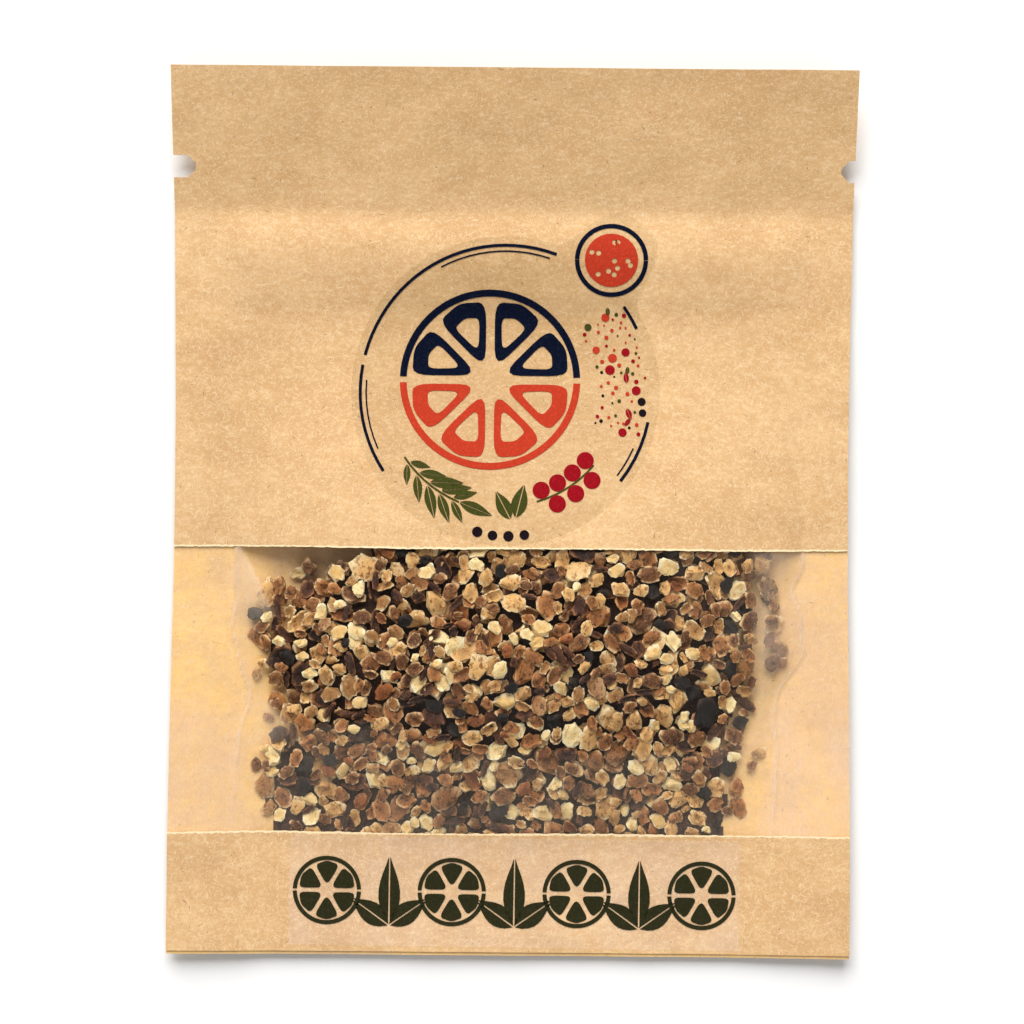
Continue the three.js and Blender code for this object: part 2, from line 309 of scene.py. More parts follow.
CREST_X = np.array((-50, -36, -31, -24, -18, -10, 28, 32, 36, 50)) * MM
CREST_Y = np.array((-26, -28.3, -31.6, -30.6, -29.8, -34.4, -34.6, -28, -25, -22)) * MM
FOLD_REACH = 0.9 * MM
FOLD_HEIGHT = 0.28 * MM
PLEAT_HEIGHT = 0.07 * MM
PLEAT_PITCH = 0.33 * MM
LIP_INSET = 0.2 * MM
LIP_HEIGHT = 0.3 * MM
LIP_REACH = 0.4 * MM
FLAP_HEIGHT = 0.45 * MM
FLAP_X = -38.5 * MM
FLAP_SLANT = 0.525
FILM_CREASE_HEIGHT = 0.16 * MM


def below_crest(x, y):
    """How far a point is below the fold that crosses the film."""
    return np.interp(x, CREST_X, CREST_Y) - y


def facet(x, y):
    """1 on the flap of film at the upper left, and 0 elsewhere."""
    left, _ = pocket_sides(y)
    slant = FLAP_X + FLAP_SLANT * (-6.8 * MM - y)
    return (smooth(slant - x, -0.15 * MM, 0.25 * MM) * smooth(x - left, 0, 0.5 * MM) *
            smooth(y, -16 * MM, -12.5 * MM))


def lips(x, y, reach):
    """Lines along which the film parts from the back panel."""
    left, right = pocket_sides(y)
    return bell((x - left - LIP_INSET) / reach) + bell((right - x - LIP_INSET) / reach)


def film_folds(x, y):
    """Folds of the film: one across the crest, fine ones beside the heap, and a flap at the upper left."""
    depth = pocket_depth(x, y)
    inside = smooth(depth, 0.2 * MM, 2 * MM)
    across = smooth(x, -30 * MM, -22 * MM) * (1 - smooth(x, 36 * MM, 40 * MM))
    fold = FOLD_HEIGHT * across * bell(below_crest(x, y) / FOLD_REACH)
    left, right = pocket_sides(y)
    margin = bell((x - left - 3 * MM) / (2.6 * MM)) + bell((right - x - 4 * MM) / (3.2 * MM))
    pleats = PLEAT_HEIGHT * margin * np.sin((x + 0.12 * y) / PLEAT_PITCH + 2 * np.sin(y / (5 * MM)))
    window = smooth(y, WINDOW_FOOT_Y - 0.5 * MM, WINDOW_FOOT_Y + 1 * MM)
    window = window * (1 - smooth(y, WINDOW_HEAD_Y - 1 * MM, WINDOW_HEAD_Y + 0.5 * MM))
    raised = pleats + LIP_HEIGHT * lips(x, y, LIP_REACH) + FLAP_HEIGHT * facet(x, y)
    return window * (inside * (fold + FILM_CREASE_HEIGHT * ripple(x, y, FILM_CREASING)) + raised)


def film_low(x, y):
    return back_top(x, y) + sizes().skin + pocket_depth(x, y) + film_folds(x, y)


def front_low(x, y):
    """Underside of the front paper. The side seals are pressed a step lower, from the strip up."""
    s = sizes()
    seal = SIDE_EDGE - s.side_seal
    pressed = SEAL_STEP * smooth(np.abs(x), seal - SEAL_EDGE, seal + SEAL_EDGE)
    pressed = pressed * smooth(y, PRESSED_FROM_Y, PRESSED_FULL_Y)
    depth = pocket_depth(x, y)
    base = back_top(x, y) + s.film + 2 * s.skin + depth + strip_relief(x, y) + SEAL_STEP - pressed
    loose = smooth(depth, 0.1 * MM, 3 * MM)
    return base + loose * (FRONT_CREASE_HEIGHT * ripple(x, y, CREASING))


def sticker_low(x, y):
    return front_low(x, y) + sizes().paper + sizes().skin


def print_low(x, y):
    return sticker_low(x, y) + sizes().sticker + sizes().skin


# --------------------------------------------------------------------------------------------------
# Making sheets

def deselect():
    if bpy.context.mode != "OBJECT":
        bpy.ops.object.mode_set(mode="OBJECT")
    bpy.ops.object.select_all(action="DESELECT")


def choose(piece):
    """Selects one object and makes it the active one."""
    deselect()
    piece.select_set(True)
    bpy.context.view_layer.objects.active = piece


def points(piece):
    co = np.empty(len(piece.data.vertices) * 3)
    piece.data.vertices.foreach_get("co", co)
    return co.reshape(-1, 3)


def move_points(piece, co):
    piece.data.vertices.foreach_set("co", np.ascontiguousarray(co, dtype=np.float32).ravel())
    piece.data.update()


def modify(piece, kind, **settings):
    """Adds a modifier and applies it."""
    choose(piece)
    bpy.ops.object.modifier_add(type=kind)
    modifier = piece.modifiers[-1]
    for name, value in settings.items():
        setattr(modifier, name, value)
    bpy.ops.object.modifier_apply(modifier=modifier.name)


def add_grid(name, low, high, step):
    """A flat grid from one corner to another, with a vertex about every step across and up."""
    deselect()
    width, height = high[0] - low[0], high[1] - low[1]
    bpy.ops.mesh.primitive_grid_add(
        x_subdivisions=max(2, round(width / step[0])), y_subdivisions=max(2, round(height / step[1])), size=1,
        location=((low[0] + high[0]) / 2, (low[1] + high[1]) / 2, 0))
    piece = bpy.context.object
    piece.name = piece.data.name = name
    piece.scale = (width, height, 1)
    bpy.ops.object.transform_apply(location=True, rotation=True, scale=True)
    return piece


MOST_RAGGED = 0.14 * MM
CUTTER_FOOT = -5 * MM
CUTTER_HEAD = 20 * MM
NOTCH_TIP = 0.4 * MM


def add_sheet(name, low, high, step, surface, thickness, ragged=()):
    """A sheet draped on a surface. Its edges at the ragged heights wander like a coarse cut.
    A sheet as wide as the pouch is drawn in at the waist."""
    piece = add_grid(name, low, high, step)
    co = points(piece)
    draw = np.random.default_rng(len(co))
    for edge in ragged:
        on_edge = np.abs(co[:, 1] - edge) < 0.01 * MM
        wander = 0.05 * MM * draw.standard_normal(on_edge.sum())
        wander = wander + 0.12 * MM * np.sin(co[on_edge, 0] / (7 * MM) + edge)
        co[on_edge, 1] += np.clip(0.7 * wander, -MOST_RAGGED, MOST_RAGGED)
    if high[0] - low[0] > 1.9 * SIDE_EDGE:
        full = SIDE_EDGE * (2 * co[:, 0] - low[0] - high[0]) / (high[0] - low[0])
        co[:, 0] = full * (1 - WAIST * bell((co[:, 1] - WAIST_Y) / WAIST_REACH))
    co[:, 2] = surface(co[:, 0], co[:, 1])
    move_points(piece, co)
    modify(piece, "SOLIDIFY", thickness=thickness, offset=1)
    return piece


def add_prism(outlines, low, high):
    """Upright prisms over closed outlines in plan."""
    corners, faces = [], []
    for outline in outlines:
        faces.append(range(len(corners), len(corners) + len(outline)))
        corners += [(x, y, low) for x, y in outline]
    mesh = bpy.data.meshes.new("prism")
    mesh.from_pydata(corners, [], faces)
    piece = bpy.data.objects.new("prism", mesh)
    bpy.context.scene.collection.objects.link(piece)
    choose(piece)
    bpy.ops.object.mode_set(mode="EDIT")
    bpy.ops.mesh.select_all(action="SELECT")
    bpy.ops.mesh.extrude_region_move(TRANSFORM_OT_translate={"value": (0, 0, high - low)})
    bpy.ops.mesh.select_all(action="SELECT")
    bpy.ops.mesh.normals_make_consistent(inside=False)
    bpy.ops.object.mode_set(mode="OBJECT")
    return piece


def cut(piece, outlines, operation):
    """Keeps (INTERSECT) or removes (DIFFERENCE) what lies within the outlines."""
    cutter = add_prism(outlines, CUTTER_FOOT, CUTTER_HEAD)
    modify(piece, "BOOLEAN", operation=operation, object=cutter, solver="MANIFOLD")
    bpy.data.objects.remove(cutter)


def punch_notches(piece):
    """Tear notches: straight sides, then 45 degree sides down to a blunt tip."""
    s = sizes()
    half = s.notch_height / 2
    middle = HEADER_EDGE - s.notch_down
    outside = SIDE_EDGE + 1 * MM
    outlines = []
    for side, depth in ((-1, s.notch_left), (1, s.notch_right)):
        shoulder = SIDE_EDGE - depth + half - NOTCH_TIP
        end = SIDE_EDGE - depth
        profile = [(outside, -half), (shoulder, -half), (end, -NOTCH_TIP),
                   (end, NOTCH_TIP), (shoulder, half), (outside, half)]
        outlines.append([(side * x, middle + y) for x, y in profile[::side]])
    cut(piece, outlines, "DIFFERENCE")


def store(piece, name, values):
    """Keeps one number for each vertex, for a material to read."""
    attribute = piece.data.attributes.get(name) or piece.data.attributes.new(name, "FLOAT", "POINT")
    attribute.data.foreach_set("value", np.ascontiguousarray(values, dtype=np.float32))


def dress(piece, materials):
    """Gives faces that look up, down and sideways the first, second and third material."""
    piece.data.materials.clear()
    for material in materials:
        piece.data.materials.append(material)
    normals = np.empty(len(piece.data.polygons) * 3)
    piece.data.polygons.foreach_get("normal", normals)
    upward = normals.reshape(-1, 3)[:, 2]
    index = np.where(upward > 0.5, 0, np.where(upward < -0.5, 1, 2))
    piece.data.polygons.foreach_set("material_index", np.minimum(index, len(materials) - 1).astype(np.int32))


def smooth_faces(piece, angle=35):
    choose(piece)
    bpy.ops.object.shade_smooth_by_angle(angle=math.radians(angle))


def hand_over(piece, slot, *nodes):
    """Ties a finished piece to the frame."""
    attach(piece, "root")
    if nodes:
        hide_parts(*nodes)


# --------------------------------------------------------------------------------------------------
# Materials

def add_node(tree, kind, inputs=None, links=None, **settings):
    """Adds a node, sets it and its sockets, and links sockets to other nodes' outputs."""
    made = tree.nodes.new(kind)
    for name, value in settings.items():
        setattr(made, name, value)
    for name, value in (inputs or {}).items():
        made.inputs[name].default_value = value
    for name, source in (links or {}).items():
        tree.links.new(source, made.inputs[name])
    return made


def new_material(name):
    """An empty material with its output, and Object coordinates to draw on."""
    material = bpy.data.materials.new(name)
    material.use_nodes = True
    tree = material.node_tree
    tree.nodes.clear()
    output = add_node(tree, "ShaderNodeOutputMaterial")
    coordinates = add_node(tree, "ShaderNodeTexCoord").outputs["Object"]
    return material, tree, output, coordinates


def noise_at(tree, coordinates, size, detail=3, roughness=0.55, stretch=(1, 1, 1), turn=0, shift=0):
    """Noise whose features are about size metres across, stretched and turned about Z."""
    scale = tuple(1 / s for s in stretch)
    placed = add_node(tree, "ShaderNodeMapping", {"Rotation": (0, 0, turn), "Location": (shift, shift, 0)},
                      {"Vector": coordinates}, vector_type="POINT")
    squeezed = add_node(tree, "ShaderNodeMapping", {"Scale": scale}, {"Vector": placed.outputs[0]})
    return add_node(tree, "ShaderNodeTexNoise", {"Scale": 1 / size, "Detail": detail, "Roughness": roughness},
                    {"Vector": squeezed.outputs[0]}).outputs["Fac"]


def span(tree, value, low, high, to_low=0.0, to_high=1.0):
    """Maps a range of a value to another, and clamps it."""
    return add_node(tree, "ShaderNodeMapRange",
                    {"From Min": low, "From Max": high, "To Min": to_low, "To Max": to_high},
                    {"Value": value}, interpolation_type="SMOOTHSTEP").outputs["Result"]


def blend_colour(tree, factor, first, second, mode="MIX"):
    """Mixes two colours. Each may be a socket or a colour."""
    made = add_node(tree, "ShaderNodeMix", data_type="RGBA", blend_type=mode)
    for index, source in ((0, factor), (6, first), (7, second)):
        if isinstance(source, bpy.types.NodeSocket):
            tree.links.new(source, made.inputs[index])
        else:
            made.inputs[index].default_value = source
    return made.outputs[2]


def combine(tree, operation, first, second):
    """Arithmetic on two values. Each may be a socket or a number."""
    made = add_node(tree, "ShaderNodeMath", operation=operation)
    for index, source in enumerate((first, second)):
        if isinstance(source, bpy.types.NodeSocket):
            tree.links.new(source, made.inputs[index])
        else:
            made.inputs[index].default_value = source
    return made.outputs[0]


def attribute(tree, name):
    return add_node(tree, "ShaderNodeAttribute", attribute_name=name).outputs["Fac"]


FIBRE_TURNS = (0.15, 0.95, 1.7, 2.5)


def streaks(tree, coordinates, width, run, threshold, shift):
    """Short fibres that lie in several directions: stretched noise, cut off near its peaks."""
    total = None
    for k, turn in enumerate(FIBRE_TURNS):
        strand = noise_at(tree, coordinates, width, 2, 0.5, (run, 1, 1), turn + shift, shift + 0.37 * k)
        strand = span(tree, strand, threshold, threshold + 0.09)
        total = strand if total is None else combine(tree, "MAXIMUM", total, strand)
    return total


def kraft_paper(name, face, dark, inner=False):
    """Unbleached kraft paper, machine made: mottled brown with bleached fibres, shives and specks, matt.
    The inner face is laminated with polyethylene, which wets it, so it looks deeper and shines a little."""
    c = colours()
    material, tree, output, at = new_material(name)
    clouds = noise_at(tree, at, 24 * MM, 3, 0.5, shift=0.4)
    mottle = noise_at(tree, at, 3.6 * MM, 6, 0.68, (1.5, 1, 1), shift=1.3)
    grain = noise_at(tree, at, 0.6 * MM, 3, 0.65, (2.2, 1, 1), shift=2.1)
    light = streaks(tree, at, 0.17 * MM, 6, 0.6, 0.3)
    shives = streaks(tree, at, 0.4 * MM, 5, 0.72, 2.3)
    specks = noise_at(tree, at, 0.4 * MM, 1, 0.5, shift=4.7)
    specks = span(tree, specks, 0.75, 0.78)
    tone = combine(tree, "ADD", combine(tree, "MULTIPLY", clouds, 0.45),
                   combine(tree, "MULTIPLY", mottle, 0.55))
    paper = blend_colour(tree, span(tree, tone, 0.34, 0.66), dark, face)
    paper = blend_colour(tree, span(tree, grain, 0.42, 0.7, 0, 0.42), paper, dark)
    paper = blend_colour(tree, span(tree, grain, 0.5, 0.3, 0, 0.25), paper, tuple(c.kraft_fibre))
    paper = blend_colour(tree, combine(tree, "MULTIPLY", light, 0.55), paper, tuple(c.kraft_fibre))
    marks = combine(tree, "MULTIPLY", combine(tree, "MAXIMUM", shives, specks), 0.62)
    paper = blend_colour(tree, marks, paper, tuple(c.kraft_shive))
    fray = noise_at(tree, at, 0.5 * MM, 3, 0.7, (1, 2.4, 1), shift=3.3)
    bare = combine(tree, "ADD", attribute(tree, "cut_edge"), combine(tree, "MULTIPLY", fray, 0.7))
    bare = span(tree, bare, 0.92, 1.05)
    paper = blend_colour(tree, bare, paper, tuple(c.kraft_cut))
    height = combine(tree, "ADD", mottle, combine(tree, "MULTIPLY", grain, 0.3))
    bump = add_node(tree, "ShaderNodeBump", {"Strength": 0.3, "Distance": 0.12 * MM}, {"Height": height})
    roughness, shine = (0.38, 0.5) if inner else (0.82, 0.25)
    shader = add_node(tree, "ShaderNodeBsdfPrincipled",
                      {"Roughness": roughness, "IOR": 1.5, "Specular IOR Level": shine},
                      {"Base Color": paper, "Normal": bump.outputs[0]})
    tree.links.new(shader.outputs[0], output.inputs["Surface"])
    return material


def cut_fibre():
    """The cut edge of kraft paper: pale, torn fibres."""
    c = colours()
    material, tree, output, at = new_material("Kraft cut edge")
    fibre = noise_at(tree, at, 0.3 * MM, 3, 0.6, shift=0.9)
    pale = blend_colour(tree, fibre, tuple(c.kraft), tuple(c.kraft_cut))
    shader = add_node(tree, "ShaderNodeBsdfPrincipled", {"Roughness": 0.9, "Specular IOR Level": 0.2},
                      {"Base Color": pale})
    tree.links.new(shader.outputs[0], output.inputs["Surface"])
    return material


def clear_film(name, tint, veil, haze_value, haze_map, gloss_roughness, reflection):
    """Clear plastic film: it lets light through with a slight tint, veils it where it is milky, and shines as
    plastic does, most at a grazing angle, from both of its faces alike.
    haze_map names an attribute that says where the film is milky. On the window film, that attribute also
    holds painted reflection and a painted highlight line."""
    material, tree, output, at = new_material(name)
    clear = add_node(tree, "ShaderNodeBsdfTransparent", {"Color": tint})
    cloud = noise_at(tree, at, 5 * MM, 4, 0.6, (1, 1.8, 1), shift=0.6)
    fine = noise_at(tree, at, 0.45 * MM, 2, 0.5, (1, 4, 1), shift=1.9)
    scattered = add_node(tree, "ShaderNodeBsdfDiffuse", {"Color": veil})
    passed = add_node(tree, "ShaderNodeBsdfTranslucent", {"Color": veil})
    # the milky veil is real haze, and on the window film also painted reflection and highlight
    milky_veil_and_sheen = add_node(tree, "ShaderNodeMixShader", {0: 0.3}, {1: scattered.outputs[0], 2: passed.outputs[0]})
    amount = combine(tree, "ADD", span(tree, cloud, 0.3, 0.75, 0.55, 1.3),
                     span(tree, fine, 0.35, 0.7, -0.12, 0.2))
    amount = combine(tree, "MULTIPLY", amount, haze_value)
    if haze_map:
        amount = combine(tree, "MULTIPLY", amount, attribute(tree, haze_map))
    body = add_node(tree, "ShaderNodeMixShader", links={0: amount, 1: clear.outputs[0], 2: milky_veil_and_sheen.outputs[0]})
    crinkle = noise_at(tree, at, 2.6 * MM, 3, 0.5, shift=2.2)
    bump = add_node(tree, "ShaderNodeBump", {"Strength": 0.25, "Distance": 0.1 * MM}, {"Height": crinkle})
    gloss = add_node(tree, "ShaderNodeBsdfGlossy", {"Roughness": gloss_roughness, "Color": (1, 1, 1, 1)},
                     {"Normal": bump.outputs[0]})
    facing = add_node(tree, "ShaderNodeLayerWeight", {"Blend": 0.5}, {"Normal": bump.outputs[0]})
    grazing = combine(tree, "MULTIPLY", combine(tree, "POWER", facing.outputs["Facing"], 5), 0.6)
    reflected = combine(tree, "ADD", grazing, reflection)
    whole = add_node(tree, "ShaderNodeMixShader",
                     links={0: reflected, 1: body.outputs[0], 2: gloss.outputs[0]})
    tree.links.new(whole.outputs[0], output.inputs["Surface"])
    return material


def printed_ink(name, ink):
    """Ink on a clear sticker: nearly opaque, a little uneven, satin."""
    material, tree, output, at = new_material(name)
    uneven = noise_at(tree, at, 0.35 * MM, 3, 0.65, shift=0.2)
    thin = tuple(min(1, channel * 1.3 + 0.006) for channel in ink[:3]) + (1,)
    shade = blend_colour(tree, span(tree, uneven, 0.45, 0.75), ink, thin)
    shader = add_node(tree, "ShaderNodeBsdfPrincipled",
                      {"Roughness": 0.8, "IOR": 1.5, "Specular IOR Level": 0.04}, {"Base Color": shade})
    tree.links.new(shader.outputs[0], output.inputs["Surface"])
    return material


def dried_peel(name, deep, middle, rim):
    """Dried, cut orange peel: wrinkled and mostly matt, its own tone lying between its darkest and middle
    colours. The low spots of its wrinkles and the sunk middle of each piece are painted darker, towards the
    darkest colour, as painted shade. Its outline is painted paler, towards the rim colour, as a painted
    highlight that is partly the pale pith.
    """
    material, tree, output, at = new_material(name)
    wrinkles = noise_at(tree, at, 0.65 * MM, 5, 0.72, (1, 1.5, 1), shift=0.8)
    pores = noise_at(tree, at, 0.3 * MM, 2, 0.6, shift=1.7)
    tint = attribute(tree, "tint")
    flesh = blend_colour(tree, span(tree, tint, -0.5, 1), deep, middle)
    # painted shade: the sunk middle of each piece, where rim is low, is mixed towards the darkest colour
    painted_hollow_shade = span(tree, attribute(tree, "rim"), 0.35, 0.0, 0.0, 0.5)
    # painted shade: the low spots of the wrinkles, and the sunk middles, are mixed towards the darkest colour
    painted_wrinkle_and_hollow_shade = combine(tree, "MAXIMUM", span(tree, wrinkles, 0.5, 0.38, 0.0, 0.9), painted_hollow_shade)
    flesh = blend_colour(tree, painted_wrinkle_and_hollow_shade, flesh, deep)
    # painted highlight: the outline of each piece, on its raised wrinkles, is mixed towards the rim colour,
    # partly as the pale pith
    edge = combine(tree, "MULTIPLY", span(tree, attribute(tree, "rim"), 0.4, 0.85),
                   span(tree, wrinkles, 0.4, 0.55, 0.25, 0.9))
    flesh = blend_colour(tree, edge, flesh, rim)
    flesh = blend_colour(tree, span(tree, pores, 0.55, 0.75, 0.0, 0.3), flesh, rim)
    height = combine(tree, "ADD", wrinkles, combine(tree, "MULTIPLY", pores, 0.35))
    bump = add_node(tree, "ShaderNodeBump", {"Strength": 0.9, "Distance": 0.3 * MM}, {"Height": height})
    shader = add_node(tree, "ShaderNodeBsdfPrincipled",
                      {"Roughness": 0.62, "IOR": 1.45, "Specular IOR Level": 0.4},
                      {"Base Color": flesh, "Normal": bump.outputs[0]})
    tree.links.new(shader.outputs[0], output.inputs["Surface"])
    return material


# --------------------------------------------------------------------------------------------------
# Paper panels

def finish_paper(piece, outer_up, window_edges):
    """Stores how near each point is to a cut edge, then gives both faces and the cut edge their materials."""
    co = points(piece)
    nearest = np.minimum(SIDE_EDGE - np.abs(co[:, 0]), HEADER_EDGE - co[:, 1])
    near = 0.3 * np.clip(1 - nearest / (0.4 * MM), 0, 1)
    for edge in window_edges:
        near = np.maximum(near, np.clip(1 - np.abs(co[:, 1] - edge) / (0.75 * MM), 0, 1))
    store(piece, "cut_edge", near)
    c = colours()
    outer = kraft_paper("Kraft paper, " + piece.name, tuple(c.kraft), tuple(c.kraft_dark))
    inner = kraft_paper("Laminated kraft, " + piece.name, tuple(c.kraft_inner), tuple(c.kraft), inner=True)
    dress(piece, (outer, inner, cut_fibre()) if outer_up else (inner, outer, cut_fibre()))
    smooth_faces(piece)


class POUCH_OT_back(bpy.types.Operator):
    """Add the back panel"""

    bl_idname = "pouch.back"
    bl_label = "Back panel"

    def execute(self, context):
        s = sizes()
        piece = add_sheet("kraft_back", BACK_LOW, BACK_HIGH, (0.8 * MM, 0.8 * MM), underside, s.paper)
        punch_notches(piece)
        finish_paper(piece, outer_up=False, window_edges=())
        hand_over(piece, "kraft_paper", "back_panel")
        return {"FINISHED"}


class POUCH_OT_front(bpy.types.Operator):
    """Add the front panels above and below the window"""

    bl_idname = "pouch.front"
    bl_label = "Front panels"

    def execute(self, context):
        s = sizes()
        step = (0.45 * MM, 0.75 * MM)
        upper = add_sheet("kraft_front_upper", UPPER_LOW, UPPER_HIGH, step, front_low, s.paper,
                          ragged=(WINDOW_HEAD_Y,))
        punch_notches(upper)
        finish_paper(upper, outer_up=True, window_edges=(WINDOW_HEAD_Y,))
        hand_over(upper, "kraft_paper", "front_upper_panel")
        lower = add_sheet("kraft_front_lower", LOWER_LOW, LOWER_HIGH, step, front_low, s.paper,
                          ragged=(WINDOW_FOOT_Y,))
        finish_paper(lower, outer_up=True, window_edges=(WINDOW_FOOT_Y,))
        hand_over(lower, "kraft_paper", "front_lower_panel")
        return {"FINISHED"}


# --------------------------------------------------------------------------------------------------
# Window film

def film_haze_and_sheen(x, y):
    """How milky the film is: a little on the seals, more over the air beside the heap and below the crest,
    and most on the flap and where it parts from the back. Below the crest the milkiness is a painted
    reflection of the light that the film's lower slope would catch. Where the film parts from the back it is
    a thin painted highlight line. Where it lies on peel above the crest it is clear."""
    loose = smooth(pocket_depth(x, y), 0.05 * MM, 0.5 * MM)
    seal = 0.05 + 0.14 * (1 - smooth(y, -33 * MM, -25 * MM)) + 0.07 * smooth(x, 0, 30 * MM)
    # painted reflection: below the crest the film is made milkier, standing in for the light that its lower
    # slope reflects
    below = smooth(below_crest(x, y), -0.6 * MM, 0.8 * MM)
    drift = 0.014 * smooth(x + 0.4 * y, 8 * MM, 26 * MM) * (1 + 0.6 * ripple(x, y, FILM_CREASING))
    over_peel_and_reflection = 0.002 + 0.036 * below + drift * (1 - below)
    beside = 1 - smooth(heap_reach(x, y), -2 * MM, 1.5 * MM)
    corner = smooth(y, -17 * MM, -12 * MM) * smooth(-x, 12 * MM, 20 * MM)
    air = (0.09 + 0.03 * smooth(x, -10 * MM, 10 * MM)) * (1 - 0.85 * corner)
    haze = seal * (1 - loose) + loose * (over_peel_and_reflection + (air - over_peel_and_reflection) * beside)
    # painted highlight: a thin milky line where the film parts from the back stands in for the glint along
    # that bend
    painted_parting_highlight = 0.3 * lips(x, y, 0.2 * MM) * smooth(pocket_depth(x, y), 0, 0.1 * MM)
    return haze + 0.16 * facet(x, y) + painted_parting_highlight


class POUCH_OT_film(bpy.types.Operator):
    """Add the window film"""

    bl_idname = "pouch.film"
    bl_label = "Window film"

    def execute(self, context):
        s, c = sizes(), colours()
        piece = add_sheet("film_window", FILM_LOW, FILM_HIGH, (0.35 * MM, 0.45 * MM), film_low, s.film)
        co = points(piece)
        # the stored milkiness is the film's haze, with painted reflection below the crest and painted
        # highlight lines where it parts from the back
        store(piece, "haze", film_haze_and_sheen(co[:, 0], co[:, 1]))
        clear = clear_film("Polyethylene film", tint=(0.995, 0.99, 0.985, 1), veil=tuple(c.film_haze_and_sheen),
                           haze_value=1, haze_map="haze", gloss_roughness=0.16, reflection=0.003)
        dress(piece, (clear,))
        smooth_faces(piece, 60)
        hand_over(piece, "clear_film", "window_film")
        return {"FINISHED"}


# --------------------------------------------------------------------------------------------------
# Stickers and their print. Outlines are lists of points in plan, in metres, about the sticker's middle.

def arc(radius, start, end, steps, centre=(0, 0)):
    """Points along an arc, in degrees."""
    return [(centre[0] + radius * math.cos(math.radians(a)), centre[1] + radius * math.sin(math.radians(a)))
            for a in np.linspace(start, end, steps)]


def disc(radius, centre=(0, 0), steps=20):
    return arc(radius, 0, 360 - 360 / steps, steps, centre)


def band(inner, outer, start, end, centre=(0, 0)):
    """A curved band between two radii."""
    steps = max(4, round(abs(end - start) / 4))
    return arc(outer, start, end, steps, centre) + arc(inner, end, start, steps, centre)


def rounded(corners, share=0.3):
    """A polygon with its corners rounded off, each over a share of the sides that meet there."""
    outline = []
    for k, corner in enumerate(corners):
        here, before, after = (Vector(p) for p in (corner, corners[k - 1], corners[(k + 1) % len(corners)]))
        start, end = here.lerp(before, share), here.lerp(after, share)
        outline += [tuple(start.lerp(here, t).lerp(here.lerp(end, t), t)) for t in (0, 0.25, 0.5, 0.75, 1)]
    return outline


def wedge(inner, outer, middle, spread, centre=(0, 0)):
    """One segment of a citrus wheel: a wedge with rounded corners."""
    rim = arc(outer, middle + spread / 2, middle - spread / 2, 2, centre)
    crown = arc(outer * 1.06, middle, middle, 1, centre)
    return rounded(arc(inner, middle, middle, 1, centre) + [rim[0]] + crown + [rim[1]])


def leaf(base, angle, reach, width):
    """Both halves of a pointed leaf, with a bare vein between them."""
    along = Vector((math.cos(math.radians(angle)), math.sin(math.radians(angle))))
    across = Vector((-along.y, along.x))
    shares = np.linspace(0.02, 1, 9)
    halves = []
    for side in (-1, 1):
        rim = [(t, 0.5 * width * math.sin(math.pi * t ** 0.85)) for t in shares[1:-1]]
        vein = 0.035 * width
        outline = [(0.02, vein)] + [(t, max(w, vein * 1.5)) for t, w in rim] + [(1, vein), (0.98, vein * 0.8)]
        halves.append([tuple(Vector(base) + along * reach * t + across * side * w) for t, w in outline])
    return halves


def citrus_wheel(centre, radius, start, end, segments, rind=0.075):
    """The part of a citrus wheel from one angle to another: its rind, and its segments."""
    step = (end - start) / segments
    outer = [band(radius * (1 - rind), radius, start + 2, end - 2, centre)]
    inner = radius * (0.94 - rind)
    return outer + [wedge(radius * 0.13, inner, start + step * (k + 0.5), step * 0.86, centre)
                    for k in range(segments)]


def wheel_hollows(centre, radius, start, end, segments):
    """The bare middles of a wheel's segments, so that each is drawn as a thick line."""
    step = (end - start) / segments
    return [wedge(radius * 0.34, radius * 0.7, start + step * (k + 0.5), step * 0.56, centre)
            for k in range(segments)]


def ring_arcs(inner, outer, spans):
    return [band(inner, outer, start, end) for start, end in spans]


def polar(radius, angle):
    return radius * math.cos(math.radians(angle)), radius * math.sin(math.radians(angle))


def garland(start, end, count, radius, reach, width):
    """Pairs of leaves along an arc, that lean forward, and the stem that they grow from."""
    leaves = [band(radius - 0.14 * MM, radius + 0.14 * MM, start, end)]
    forward = 90 if end > start else -90
    for k in range(count):
        angle = start + (end - start) * (k + 0.5) / count
        share = 1 - 0.45 * abs(2 * (k + 0.5) / count - 1.1)
        for side in (-1, 1):
            turned = angle + forward - side * math.copysign(38, forward)
            leaves += leaf(polar(radius + side * 0.25 * MM, angle), turned, reach * share, width * share)
    return leaves + leaf(polar(radius, end), end + forward, reach, width)


